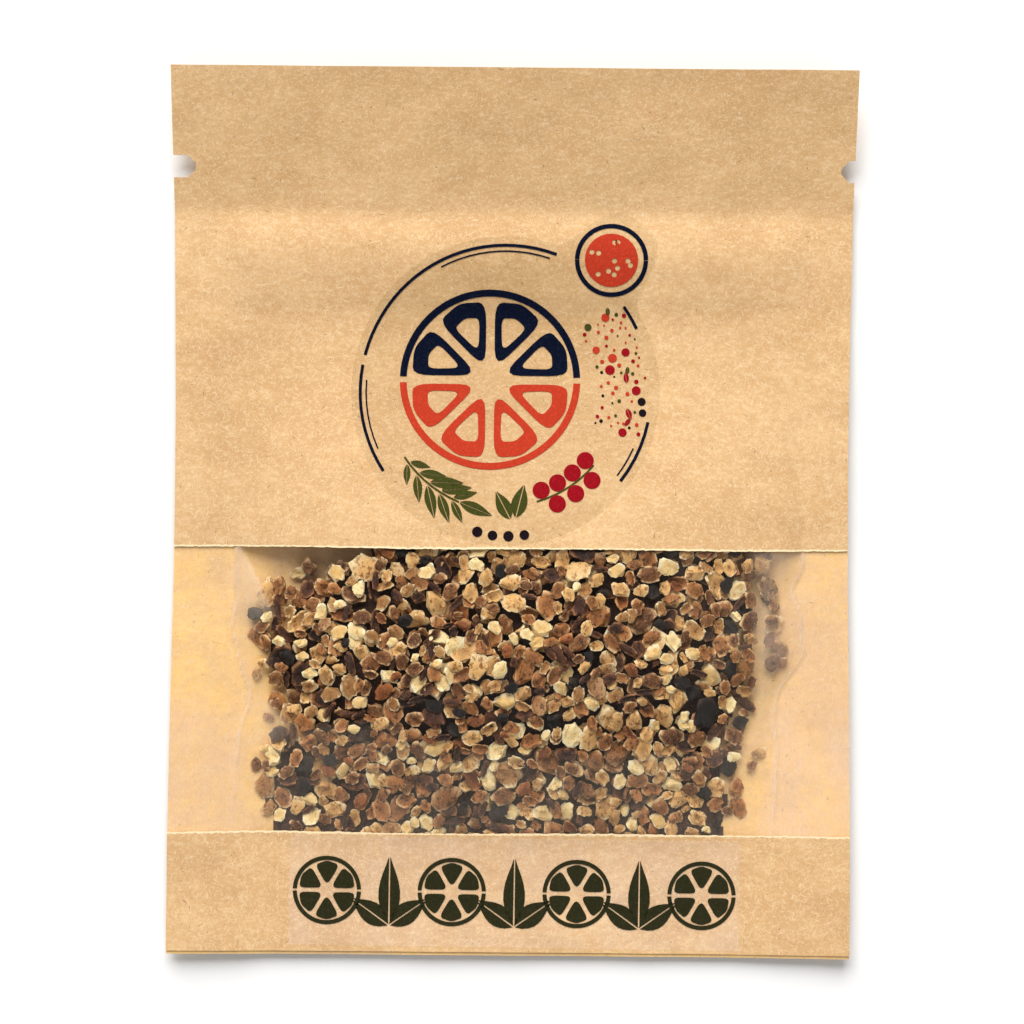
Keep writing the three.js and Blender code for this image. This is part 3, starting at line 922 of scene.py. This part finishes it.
def round_artwork():
    """A citrus wheel in a broken double ring, a leafy twig, a twig of berries, and a small fruit in the
    lobe with a sprinkle of dots below it. Gives each ink's outlines, and the hollows cut from them."""
    draw = np.random.default_rng(21)
    wheel, radius = (-2.3 * MM, 1.6 * MM), 13.2 * MM
    fruit = polar(24.6 * MM, 51.5)
    navy = ring_arcs(21.05 * MM, 21.5 * MM, ((70, 166), (170, 214), (26, 36), (-38, -12)))
    navy += ring_arcs(20.3 * MM, 20.52 * MM, ((72, 118), (176, 205), (-37, -24)))
    navy += citrus_wheel(wheel, radius, 0, 180, 4) + [band(4.7 * MM, 5.35 * MM, 0, 179, fruit)]
    navy.append(band(4.7 * MM, 5.35 * MM, 180, 359, fruit))
    orange = citrus_wheel(wheel, radius, 180, 360, 4) + [disc(3.9 * MM, fruit, 28)]
    olive = garland(-146, -112, 5, 17.6 * MM, 5.2 * MM, 1.7 * MM)
    for base, angle, size in (((1.6, -18.6), 76, 5.0), ((0.9, -18.8), 118, 4.6)):
        olive += leaf((base[0] * MM, base[1] * MM), angle, size * MM, 0.46 * size * MM)
    olive.append(band(16.7 * MM, 16.95 * MM, -74, -40))
    black = [disc(r * MM, (x * MM, y * MM)) for x, y, r in
             ((-3.9, -20.6, 0.75), (-1.7, -21.1, 0.7), (0.6, -21.2, 0.75), (2.9, -21, 0.7))]
    red = [disc(1.25 * MM, polar((16.8 + (1.35 if k % 2 else -1.35)) * MM, angle))
           for k, angle in enumerate(np.linspace(-70, -41, 7))]
    inks = {"navy": navy, "orange": orange, "red": red, "olive": olive, "black": black}
    drops = [polar(math.sqrt(draw.uniform(0.1, 14.5)) * MM, angle) for angle in draw.uniform(0, 360, 22)]
    hollows = {"navy": wheel_hollows(wheel, radius, 0, 180, 4),
               "orange": wheel_hollows(wheel, radius, 180, 360, 4)}
    hollows["orange"] += [disc(0.4 * MM, (fruit[0] + 0.85 * x, fruit[1] + 0.85 * y), 10)
                          for x, y in drops[::2]]
    ink_order = ("orange", "red", "olive", "orange", "black", "orange", "red")
    taken = []
    for k in range(260):
        x, y = polar(draw.uniform(13.8, 20.6) * MM, draw.uniform(-20, 40))
        large = k % 6 < 2
        size = draw.uniform(0.45, 0.72) * MM if large else draw.uniform(0.14, 0.32) * MM
        crowded = any(math.hypot(x - near_x, y - near_y) < size + near_size + 0.3 * MM
                      for near_x, near_y, near_size in taken)
        if crowded or math.hypot(x - wheel[0], y - wheel[1]) < radius + size + 0.5 * MM:
            continue
        taken.append((x, y, size))
        if k % 6 == 0:
            inks[("red", "olive")[k % 4 // 2]] += leaf((x, y), draw.uniform(0, 360), 2.6 * size, 1.2 * size)
        else:
            inks[ink_order[k % 7]].append(disc(size, (x, y), 12))
    return inks, hollows


def label_artwork():
    """A row of citrus wheels with leaves between them."""
    shapes = []
    pitch = 9.15 * MM
    for k in range(-3, 4):
        middle = (k * pitch, 0)
        if k % 2:
            shapes += citrus_wheel(middle, 5.0 * MM, 0, 180, 3, 0.12)
            shapes += citrus_wheel(middle, 5.0 * MM, 180, 360, 3, 0.12)
        else:
            for angle in (35, 90, 145):
                shapes += leaf((middle[0], -5.0 * MM), angle, (10 if angle == 90 else 6.6) * MM, 3.2 * MM)
    return shapes


def sticker_outline():
    """The round sticker's circle, with a lobe."""
    s = sizes()
    outline = []
    for angle in np.radians(np.arange(0, 360, 2)):
        from_lobe = (angle - s.lobe_angle + math.pi) % (2 * math.pi) - math.pi
        rim = s.round_radius + s.lobe_reach * math.exp(-(from_lobe / LOBE_SPREAD) ** 4)
        outline.append((rim * math.cos(angle), rim * math.sin(angle)))
    return outline


def placed(outlines, centre, turn=0.0):
    """Outlines turned about their middle and moved to their place."""
    cosine, sine = math.cos(turn), math.sin(turn)
    return [[(centre[0] + x * cosine - y * sine, centre[1] + x * sine + y * cosine) for x, y in outline]
            for outline in outlines]


def add_printed(name, outlines, hollows, low, high, surface, thickness, material, slot, step=0.5 * MM):
    """A thin layer over a surface, kept only within outlines and outside hollows."""
    margin = Vector((0.3 * MM, 0.3 * MM, 0))
    piece = add_sheet(name, low - margin, high + margin, (step, step), surface, thickness)
    cut(piece, outlines, "INTERSECT")
    if hollows:
        cut(piece, hollows, "DIFFERENCE")
    dress(piece, (material,))
    smooth_faces(piece)
    hand_over(piece, slot)
    return piece


class POUCH_OT_round_sticker(bpy.types.Operator):
    """Add the round clear sticker and its print"""

    bl_idname = "pouch.round_sticker"
    bl_label = "Round sticker"

    def execute(self, context):
        s, c = sizes(), colours()
        centre = (ROUND_LOW.x + s.round_radius, ROUND_LOW.y + s.round_radius)
        film = clear_film("Clear round sticker", tint=tuple(c.sticker_tint), veil=(0.5, 0.4, 0.26, 1),
                          haze_value=0.006, haze_map=None, gloss_roughness=0.45, reflection=0.003)
        piece = add_printed("round_sticker_film", placed([sticker_outline()], centre), None,
                            ROUND_LOW, ROUND_HIGH, sticker_low, s.sticker, film, "clear_sticker")
        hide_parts("round_sticker")
        inks, hollows = round_artwork()
        for name, outlines in inks.items():
            material = printed_ink("Ink, " + name, tuple(getattr(c, name)))
            bare = placed(hollows.get(name, []), centre)
            add_printed("round_print_" + name, placed(outlines, centre), bare, ROUND_LOW, ROUND_HIGH,
                        print_low, s.ink, material, "clear_sticker")
        return {"FINISHED"}


class POUCH_OT_foot_label(bpy.types.Operator):
    """Add the clear label at the foot and its print"""

    bl_idname = "pouch.foot_label"
    bl_label = "Foot label"

    def execute(self, context):
        s, c = sizes(), colours()
        centre = ((LABEL_LOW.x + LABEL_HIGH.x) / 2, (LABEL_LOW.y + LABEL_HIGH.y) / 2)
        turn = s.label_turn
        outer = (LABEL_HIGH.x - LABEL_LOW.x, LABEL_HIGH.y - LABEL_LOW.y)
        cosine, sine = math.cos(turn), abs(math.sin(turn))
        half_height = (outer[1] - outer[0] * sine) / (cosine - sine * sine) / 2
        half_width = (outer[0] - 2 * half_height * sine) / cosine / 2
        corners = [(half_width * i, half_height * j) for i, j in ((-1, -1), (1, -1), (1, 1), (-1, 1))]
        film = clear_film("Clear foot label", tint=tuple(c.label_tint), veil=(1, 0.97, 0.93, 1),
                          haze_value=0.085, haze_map=None, gloss_roughness=0.45, reflection=0.004)
        piece = add_printed("foot_label_film", placed([corners], centre, turn), None,
                            LABEL_LOW, LABEL_HIGH, sticker_low, s.sticker, film, "clear_sticker")
        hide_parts("foot_label")
        ink = printed_ink("Ink, dark olive", tuple(c.label_ink))
        add_printed("foot_label_print", placed(label_artwork(), centre, turn), None,
                    LABEL_LOW, LABEL_HIGH, print_low, s.ink, ink, "clear_sticker")
        return {"FINISHED"}


# --------------------------------------------------------------------------------------------------
# Dried peel

# name: (share of the pieces, deep, middle and rim colours, least and greatest half length in mm, forms). The
# deep colour also serves as painted shade in the wrinkles and sunk middles, and the rim colour as a painted
# highlight along each piece's outline.
KINDS = {
    "brown": (0.33, "#3a1b0a", "#b0723c", "#f3cc98", (1.5, 2.8), ("nodule", "curl", "nodule", "chip")),
    "dark": (0.15, "#120807", "#5c3520", "#ab774f", (1.5, 2.8), ("nodule", "curl", "nodule", "sliver")),
    "tan": (0.29, "#7c4518", "#e9b873", "#ffedbe", (1.5, 2.9), ("curl", "nodule", "chip")),
    "cream": (0.13, "#d8a95c", "#ffe8ac", "#fff8d8", (1.4, 2.4), ("chip", "nodule")),
    "black": (0.05, "#030202", "#1a1310", "#43352a", (1.5, 2.7), ("nodule", "chip")),
    "rust": (0.04, "#45200c", "#9c5a2c", "#d8a066", (1.4, 2.7), ("curl", "chip")),
}

# half width and half height of each form, as shares of its half length
PROPORTIONS = {"nodule": (0.75, 0.56), "chip": (0.72, 0.46), "curl": (0.66, 0.36), "sliver": (0.36, 0.3)}
MOST_MISSES = 170
TRIES = 60
LEAST_ROOM = 0.55 * MM
PILE_CELL = 0.3 * MM
PILE_LEFT = -44 * MM
PILE_RIGHT = 47 * MM

# the heap's left and right outlines at these heights
HEAP_Y = np.array((-53, -47, -45, -42, -38, -35, -33, -31,
                   -28, -23, -20, -16.5, -12.5, -9, -6, -3)) * MM
HEAP_LEFT = np.array((-36, -37, -37, -39, -39, -37.4, -33.4, -31.6,
                      -35, -36.6, -38, -37.6, -34.4, -27, -21, -16)) * MM
HEAP_RIGHT = np.array((33.6, 34.4, 34, 35.4, 34, 33.6, 34, 35,
                       36, 36.4, 36, 35.6, 35.8, 35.6, 35, 34.6)) * MM
HEAP_FOOT = 12 * MM
HEAP_HEAD_Y = 4 * MM
CORE_INSET = 2.6 * MM
CORE_SLOPE = 4.5 * MM
CORE_DEEPEST = 5 * MM


def heap_reach(x, y):
    """How far a point is inside the heap's outline, or below 0 outside it."""
    left = x - np.interp(y, HEAP_Y, HEAP_LEFT)
    right = np.interp(y, HEAP_Y, HEAP_RIGHT) - x
    foot = y - FOOT_EDGE - HEAP_FOOT
    head = HEAP_HEAD_Y - y
    return np.minimum.reduce([left, right, foot, head]) + 0.5 * MM * ripple(x, y, HEAP_LUMPS)


def core_top(x, y):
    """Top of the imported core, well below the film. It stays inside the heap, where peel covers its edge."""
    bed = bpy.context.scene.peel_settings.bed
    depth = np.minimum(pocket_depth(x, y) - bed, CORE_DEEPEST) + 0.35 * MM * ripple(x, y, HEAP_LUMPS)
    inside = smooth(heap_reach(x, y), CORE_INSET, CORE_INSET + CORE_SLOPE)
    return back_top(x, y) + 0.1 * MM + np.maximum(depth, 0.15 * MM) * inside


def take_shape(piece):
    """A finished piece's points, faces and rim numbers, scaled so that its longest half is 1.
    The piece itself is removed."""
    co = points(piece)
    co -= (co.max(0) + co.min(0)) / 2
    co /= np.abs(co).max()
    faces = [tuple(p.vertices) for p in piece.data.polygons]
    reach = np.hypot(co[:, 0], co[:, 1] * (np.abs(co[:, 0]).max() / max(np.abs(co[:, 1]).max(), 1e-6)))
    rim = np.clip(reach / reach.max(), 0, 1) ** 2
    bpy.data.objects.remove(piece)
    return co, faces, rim


def nodule(seed):
    """A shrunken lump: a sphere with uneven swellings, sunk in the middle of both faces."""
    deselect()
    draw = np.random.default_rng(seed)
    bpy.ops.mesh.primitive_ico_sphere_add(subdivisions=2, radius=1)
    piece = bpy.context.object
    bpy.ops.object.mode_set(mode="EDIT")
    bpy.ops.mesh.select_all(action="SELECT")
    bpy.ops.transform.vertex_random(offset=0.24, uniform=0.3, normal=0.7, seed=seed)
    bpy.ops.transform.resize(value=(1, draw.uniform(0.62, 0.88), draw.uniform(0.45, 0.6)))
    bpy.ops.object.mode_set(mode="OBJECT")
    co = points(piece)
    dimple = bell(np.hypot(co[:, 0] - draw.uniform(-0.2, 0.2), 1.3 * co[:, 1]) / 0.5)
    co[:, 2] *= 1 - draw.uniform(0.4, 0.95) * dimple
    move_points(piece, co)
    return take_shape(piece)


def chip(seed):
    """A cut chip: a squat ball with flat faces sliced off it."""
    deselect()
    draw = np.random.default_rng(seed)
    bpy.ops.mesh.primitive_ico_sphere_add(subdivisions=2, radius=1)
    piece = bpy.context.object
    bpy.ops.object.mode_set(mode="EDIT")
    for k in range(6):
        bpy.ops.mesh.select_all(action="SELECT")
        normal = Vector(draw.standard_normal(3)).normalized()
        bpy.ops.mesh.bisect(plane_co=normal * draw.uniform(0.5, 0.8), plane_no=normal, use_fill=True,
                            clear_outer=True)
    bpy.ops.mesh.select_all(action="SELECT")
    bpy.ops.transform.vertex_random(offset=0.08, uniform=0.5, normal=0.5, seed=seed)
    bpy.ops.transform.resize(value=(1, draw.uniform(0.55, 0.85), draw.uniform(0.35, 0.55)))
    bpy.ops.object.mode_set(mode="OBJECT")
    modify(piece, "TRIANGULATE")
    return take_shape(piece)


def flake(seed, slimness, bend):
    """A curled flake of rind: a small uneven plate, rolled up along its length and given a thickness."""
    draw = np.random.default_rng(seed)
    piece = add_grid("flake", (-1, -slimness), (1, slimness), (0.34, slimness * 0.55))
    co = points(piece)
    edge = np.maximum(np.abs(co[:, 0]), np.abs(co[:, 1]) / slimness) > 0.98
    co[:, :2] *= np.where(edge, draw.uniform(0.72, 1.06, len(co)), 1)[:, None]
    corner = np.abs(co[:, 0]) * np.abs(co[:, 1]) / slimness
    co[:, :2] *= (1 - 0.3 * corner)[:, None]
    rolled = bend * co[:, 1] ** 2 / slimness + 0.25 * bend * co[:, 0] ** 2
    co[:, 2] = rolled + draw.uniform(-0.07, 0.07, len(co))
    move_points(piece, co)
    modify(piece, "SOLIDIFY", thickness=0.16, offset=0)
    modify(piece, "TRIANGULATE")
    return take_shape(piece)


def base_shapes():
    """A handful of shapes of each form."""
    curl_bends = (0.9, 0.5, 0.75, 0.3, 1.0, 0.6, 0.45, 0.8)
    sliver_bends = (0.5, 0.8, 0.3, 0.6)
    return {
        "nodule": [nodule(seed) for seed in range(1, 9)],
        "chip": [chip(seed) for seed in range(11, 20)],
        "curl": [flake(seed, 0.7, bend) for seed, bend in enumerate(curl_bends, 21)],
        "sliver": [flake(seed, 0.34, bend) for seed, bend in enumerate(sliver_bends, 31)],
    }


class Pile:
    """Heights over the pocket, on which pieces are dropped one by one."""

    def __init__(self, low, high, cell):
        self.low, self.cell = np.array(low), cell
        self.x = np.arange(low[0], high[0], cell)
        self.y = np.arange(low[1], high[1], cell)
        grid_x, grid_y = np.meshgrid(self.x, self.y, indexing="ij")
        self.top = core_top(grid_x, grid_y)
        under_paper = front_low(grid_x, grid_y) - sizes().film - 0.3 * MM
        self.ceiling = np.minimum(film_low(grid_x, grid_y) - 0.12 * MM, under_paper)
        self.reach = heap_reach(grid_x, grid_y)

    def room(self, spots, stray):
        """Free height at some spots, inside the heap or, for a stray piece, a little outside it."""
        i, j = ((spots - self.low) / self.cell).astype(int).T
        reach = self.reach[i, j]
        allowed = (reach < -0.8 * MM) & (reach > -4 * MM) if stray else reach > 0.8 * MM
        return np.where(allowed, self.ceiling[i, j] - self.top[i, j], -1)

    def around(self, spot, reach):
        """The cells within reach of a spot."""
        first = np.maximum(((spot - reach - self.low) / self.cell).astype(int), 0)
        last = ((spot + reach - self.low) / self.cell).astype(int) + 2
        return slice(first[0], last[0]), slice(first[1], last[1])

    def drop(self, spot, half, turn, tilt):
        """Lets a piece with these half sizes fall. Gives its height at rest, or nothing if it doesn't fit.
        Pieces nest in each other, and the film presses a piece down by up to most of its half thickness."""
        cells = self.around(spot, half[0])
        dx = self.x[cells[0]][:, None] - spot[0]
        dy = self.y[cells[1]][None, :] - spot[1]
        u = (dx * math.cos(turn) + dy * math.sin(turn)) / half[0]
        v = (dy * math.cos(turn) - dx * math.sin(turn)) / half[1]
        left_over = 1 - u * u - v * v
        inside = left_over > 0.06
        if not inside.any():
            return None
        swell = half[2] * np.sqrt(np.clip(left_over, 0, 1))
        lean = tilt[0] * dx + tilt[1] * dy
        rest = np.max(np.where(inside, self.top[cells] - lean + 0.88 * swell, -1))
        press = np.min(np.where(inside, self.ceiling[cells] - (rest + lean + swell), 1))
        if press < -0.7 * half[2]:
            return None
        rest += min(press, 0)
        raised = np.maximum(self.top[cells], rest + lean + 0.95 * swell)
        self.top[cells] = np.where(inside, raised, self.top[cells])
        return rest


def fill_pile():
    """Drops pieces until the pocket is full.
    Gives each kind's list of (form, shape, place, half sizes, turn, tilt, tint)."""
    settings = bpy.context.scene.peel_settings
    draw = np.random.default_rng(settings.seed)
    low = np.array((PILE_LEFT, WINDOW_FOOT_Y - settings.margin))
    high = np.array((PILE_RIGHT, WINDOW_HEAD_Y + settings.margin))
    pile = Pile(low, high, PILE_CELL)
    names = list(KINDS)
    dropped = {name: [] for name in names}
    misses = count = 0
    while count < settings.most and misses < MOST_MISSES:
        wanted = [KINDS[kind][0] * (count + draw.uniform(1, 9)) - len(dropped[kind]) for kind in names]
        name = names[wanted.index(max(wanted))]
        _, _, _, _, (least, greatest), forms = KINDS[name]
        form = forms[draw.integers(len(forms))]
        reach = draw.triangular(least * 0.75, least, greatest) * MM * (1 - 0.45 * misses / MOST_MISSES)
        half = reach * np.array((1, *PROPORTIONS[form]))
        spots = draw.uniform(low, high - pile.cell, (TRIES, 2))
        room = pile.room(spots, stray=draw.uniform() < settings.strays)
        misses += 1
        for spot, free in [found for found in zip(spots, room) if found[1] > LEAST_ROOM][:3]:
            turn = draw.uniform(0, math.pi)
            tilt = np.clip(draw.normal(0, 0.5 if form == "curl" else 0.32, 2), -1, 1)
            half[2] = min(half[2], 0.6 * free)
            rest = pile.drop(spot, half, turn, tilt)
            if rest is not None:
                shape = draw.integers(1000)
                dropped[name].append((form, shape, (*spot, rest), half.copy(), turn, tilt, draw.uniform()))
                misses = 0
                count += 1
                break
    print("pieces of peel:", count, {name: len(found) for name, found in dropped.items()})
    return dropped


def join_pieces(name, dropped, shapes):
    """One mesh of all the pieces of a kind, each a copy of a base shape with its own place, size and tint."""
    draw = np.random.default_rng(len(dropped))
    corners, faces, tints, rims = [], [], [], []
    start = 0
    for form, number, place, half, turn, tilt, tint in dropped:
        co, shape_faces, rim = shapes[form][number % len(shapes[form])]
        fitted = co / np.abs(co).max(0) * half
        if draw.uniform() < 0.5:
            fitted = fitted * (1, 1, -1)
            shape_faces = [face[::-1] for face in shape_faces]
        lean = Euler((math.atan(tilt[1]), -math.atan(tilt[0]), 0)).to_matrix() @ Matrix.Rotation(turn, 3, "Z")
        corners.append(fitted @ np.array(lean).T + np.array(place))
        faces += [tuple(v + start for v in face) for face in shape_faces]
        tints.append(np.full(len(co), tint))
        rims.append(rim)
        start += len(co)
    mesh = bpy.data.meshes.new(name)
    mesh.from_pydata(np.concatenate(corners).tolist(), [], faces)
    mesh.update()
    piece = bpy.data.objects.new(name, mesh)
    bpy.context.scene.collection.objects.link(piece)
    store(piece, "tint", np.concatenate(tints))
    store(piece, "rim", np.concatenate(rims))
    return piece


class POUCH_OT_core(bpy.types.Operator):
    """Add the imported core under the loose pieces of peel"""

    bl_idname = "pouch.core"
    bl_label = "Peel core"

    def execute(self, context):
        low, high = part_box("peel_fill")
        piece = add_grid("peel_core", low, high, (0.6 * MM, 0.6 * MM))
        co = points(piece)
        outside = heap_reach(co[:, 0], co[:, 1]) < CORE_INSET
        choose(piece)
        bpy.ops.object.mode_set(mode="EDIT")
        bpy.ops.mesh.select_mode(type="VERT")
        bpy.ops.mesh.select_all(action="DESELECT")
        bpy.ops.object.mode_set(mode="OBJECT")
        piece.data.vertices.foreach_set("select", outside)
        bpy.ops.object.mode_set(mode="EDIT")
        bpy.ops.mesh.delete(type="VERT")
        bpy.ops.object.mode_set(mode="OBJECT")
        co = points(piece)
        co[:, 2] = back_top(co[:, 0], co[:, 1]) + 0.05 * MM
        move_points(piece, co)
        modify(piece, "SOLIDIFY", thickness=0.1 * MM, offset=1)
        co = points(piece)
        floor = back_top(co[:, 0], co[:, 1]) + 0.05 * MM
        upper = co[:, 2] > floor + 0.04 * MM
        co[:, 2] = np.where(upper, np.maximum(core_top(co[:, 0], co[:, 1]), floor + 0.1 * MM), floor)
        move_points(piece, co)
        _, deep, middle, rim, _, _ = KINDS["dark"]
        store(piece, "tint", np.full(len(co), 0.4))
        # rim is 0 all over the core, so the peel material paints the whole core halfway towards its darkest
        # colour, as painted shade in the gaps between the pieces
        store(piece, "rim", np.zeros(len(co)))
        dress(piece, (dried_peel("Packed dried peel", linear(deep), linear(middle), linear(rim)),))
        smooth_faces(piece)
        hand_over(piece, "dried_peel", "peel_fill")
        return {"FINISHED"}


class POUCH_OT_peel(bpy.types.Operator):
    """Add the loose pieces of dried peel, one mesh for each kind"""

    bl_idname = "pouch.peel"
    bl_label = "Pieces of peel"

    def execute(self, context):
        shapes = base_shapes()
        for name, dropped in fill_pile().items():
            if not dropped:
                raise RuntimeError("no piece of the kind " + name + " found room")
            piece = join_pieces("peel_" + name, dropped, shapes)
            _, deep, middle, rim, _, _ = KINDS[name]
            dress(piece, (dried_peel("Dried peel, " + name, linear(deep), linear(middle), linear(rim)),))
            smooth_faces(piece, 38)
            hand_over(piece, "dried_peel")
        return {"FINISHED"}


# --------------------------------------------------------------------------------------------------
# Stage

def add_area_light(name, place, size, power, tint):
    """A square soft light that faces the middle of the pouch."""
    deselect()
    bpy.ops.object.light_add(type="AREA", location=place)
    light = bpy.context.object
    light.name = name
    light.data.shape = "SQUARE"
    light.data.size = size
    light.data.energy = power
    light.data.color = tint
    light.rotation_euler = (-Vector(place)).to_track_quat("-Z", "Y").to_euler()


class POUCH_OT_stage(bpy.types.Operator):
    """Add the floor, the lights and the camera"""

    bl_idname = "pouch.stage"
    bl_label = "Stage"

    def execute(self, context):
        scene = context.scene
        deselect()
        bpy.ops.mesh.primitive_plane_add(size=6, location=(0, 0, -0.05 * MM))
        floor = context.object
        floor.name = "floor"
        material, tree, output, at = new_material("Matt white card")
        fibre = noise_at(tree, at, 60 * MM, 3, 0.5)
        card = blend_colour(tree, fibre, linear("#f7f7f6"), linear("#fbfbfa"))
        shader = add_node(tree, "ShaderNodeBsdfPrincipled", {"Roughness": 0.95, "Specular IOR Level": 0.1},
                          {"Base Color": card})
        tree.links.new(shader.outputs[0], output.inputs["Surface"])
        floor.data.materials.append(material)
        add_area_light("key_light", place=(-0.4, 2.2, 2.0), size=2.4, power=131, tint=(1.0, 0.99, 0.98))
        add_area_light("fill_light", place=(0.3, -1.6, 1.8), size=2.2, power=15, tint=(1.0, 0.985, 0.97))
        world = bpy.data.worlds.new("studio")
        world.use_nodes = True
        world.node_tree.nodes["Background"].inputs["Color"].default_value = (0.96, 0.98, 1.0, 1)
        world.node_tree.nodes["Background"].inputs["Strength"].default_value = 0.2
        scene.world = world
        scene.view_settings.view_transform = "Standard"
        deselect()
        bpy.ops.object.camera_add(location=(0.0001, 0.0003, 0.4183), rotation=(0, 0, math.radians(0.5)))
        camera = context.object
        camera.name = "camera"
        camera.data.lens = 100
        camera.data.sensor_width = 36
        scene.camera = camera
        return {"FINISHED"}


class POUCH_PT_panel(bpy.types.Panel):
    """Lists the steps that build the pouch"""

    bl_idname = "POUCH_PT_panel"
    bl_label = "Peel Pouch"
    bl_space_type = "VIEW_3D"
    bl_region_type = "UI"
    bl_category = "Peel Pouch"

    def draw(self, context):
        for operator in OPERATORS:
            self.layout.operator(operator.bl_idname)
        for group in ("pouch_sizes", "pouch_colours", "peel_settings"):
            box = self.layout.box()
            values = getattr(context.scene, group)
            for name in values.__annotations__:
                box.prop(values, name)


OPERATORS = (POUCH_OT_back, POUCH_OT_front, POUCH_OT_film, POUCH_OT_core, POUCH_OT_peel,
             POUCH_OT_round_sticker, POUCH_OT_foot_label, POUCH_OT_stage)
CLASSES = (PouchSizes, PouchColours, PeelSettings, *OPERATORS, POUCH_PT_panel)


def register():
    for each in CLASSES:
        bpy.utils.register_class(each)
    bpy.types.Scene.pouch_sizes = PointerProperty(type=PouchSizes)
    bpy.types.Scene.pouch_colours = PointerProperty(type=PouchColours)
    bpy.types.Scene.peel_settings = PointerProperty(type=PeelSettings)


def unregister():
    del bpy.types.Scene.peel_settings
    del bpy.types.Scene.pouch_colours
    del bpy.types.Scene.pouch_sizes
    for each in reversed(CLASSES):
        bpy.utils.unregister_class(each)


def main():
    register()
    bpy.ops.pouch.back()
    bpy.ops.pouch.front()
    bpy.ops.pouch.film()
    bpy.ops.pouch.core()
    bpy.ops.pouch.peel()
    bpy.ops.pouch.round_sticker()
    bpy.ops.pouch.foot_label()
    bpy.ops.pouch.stage()


if __name__ == "__main__":
    main()
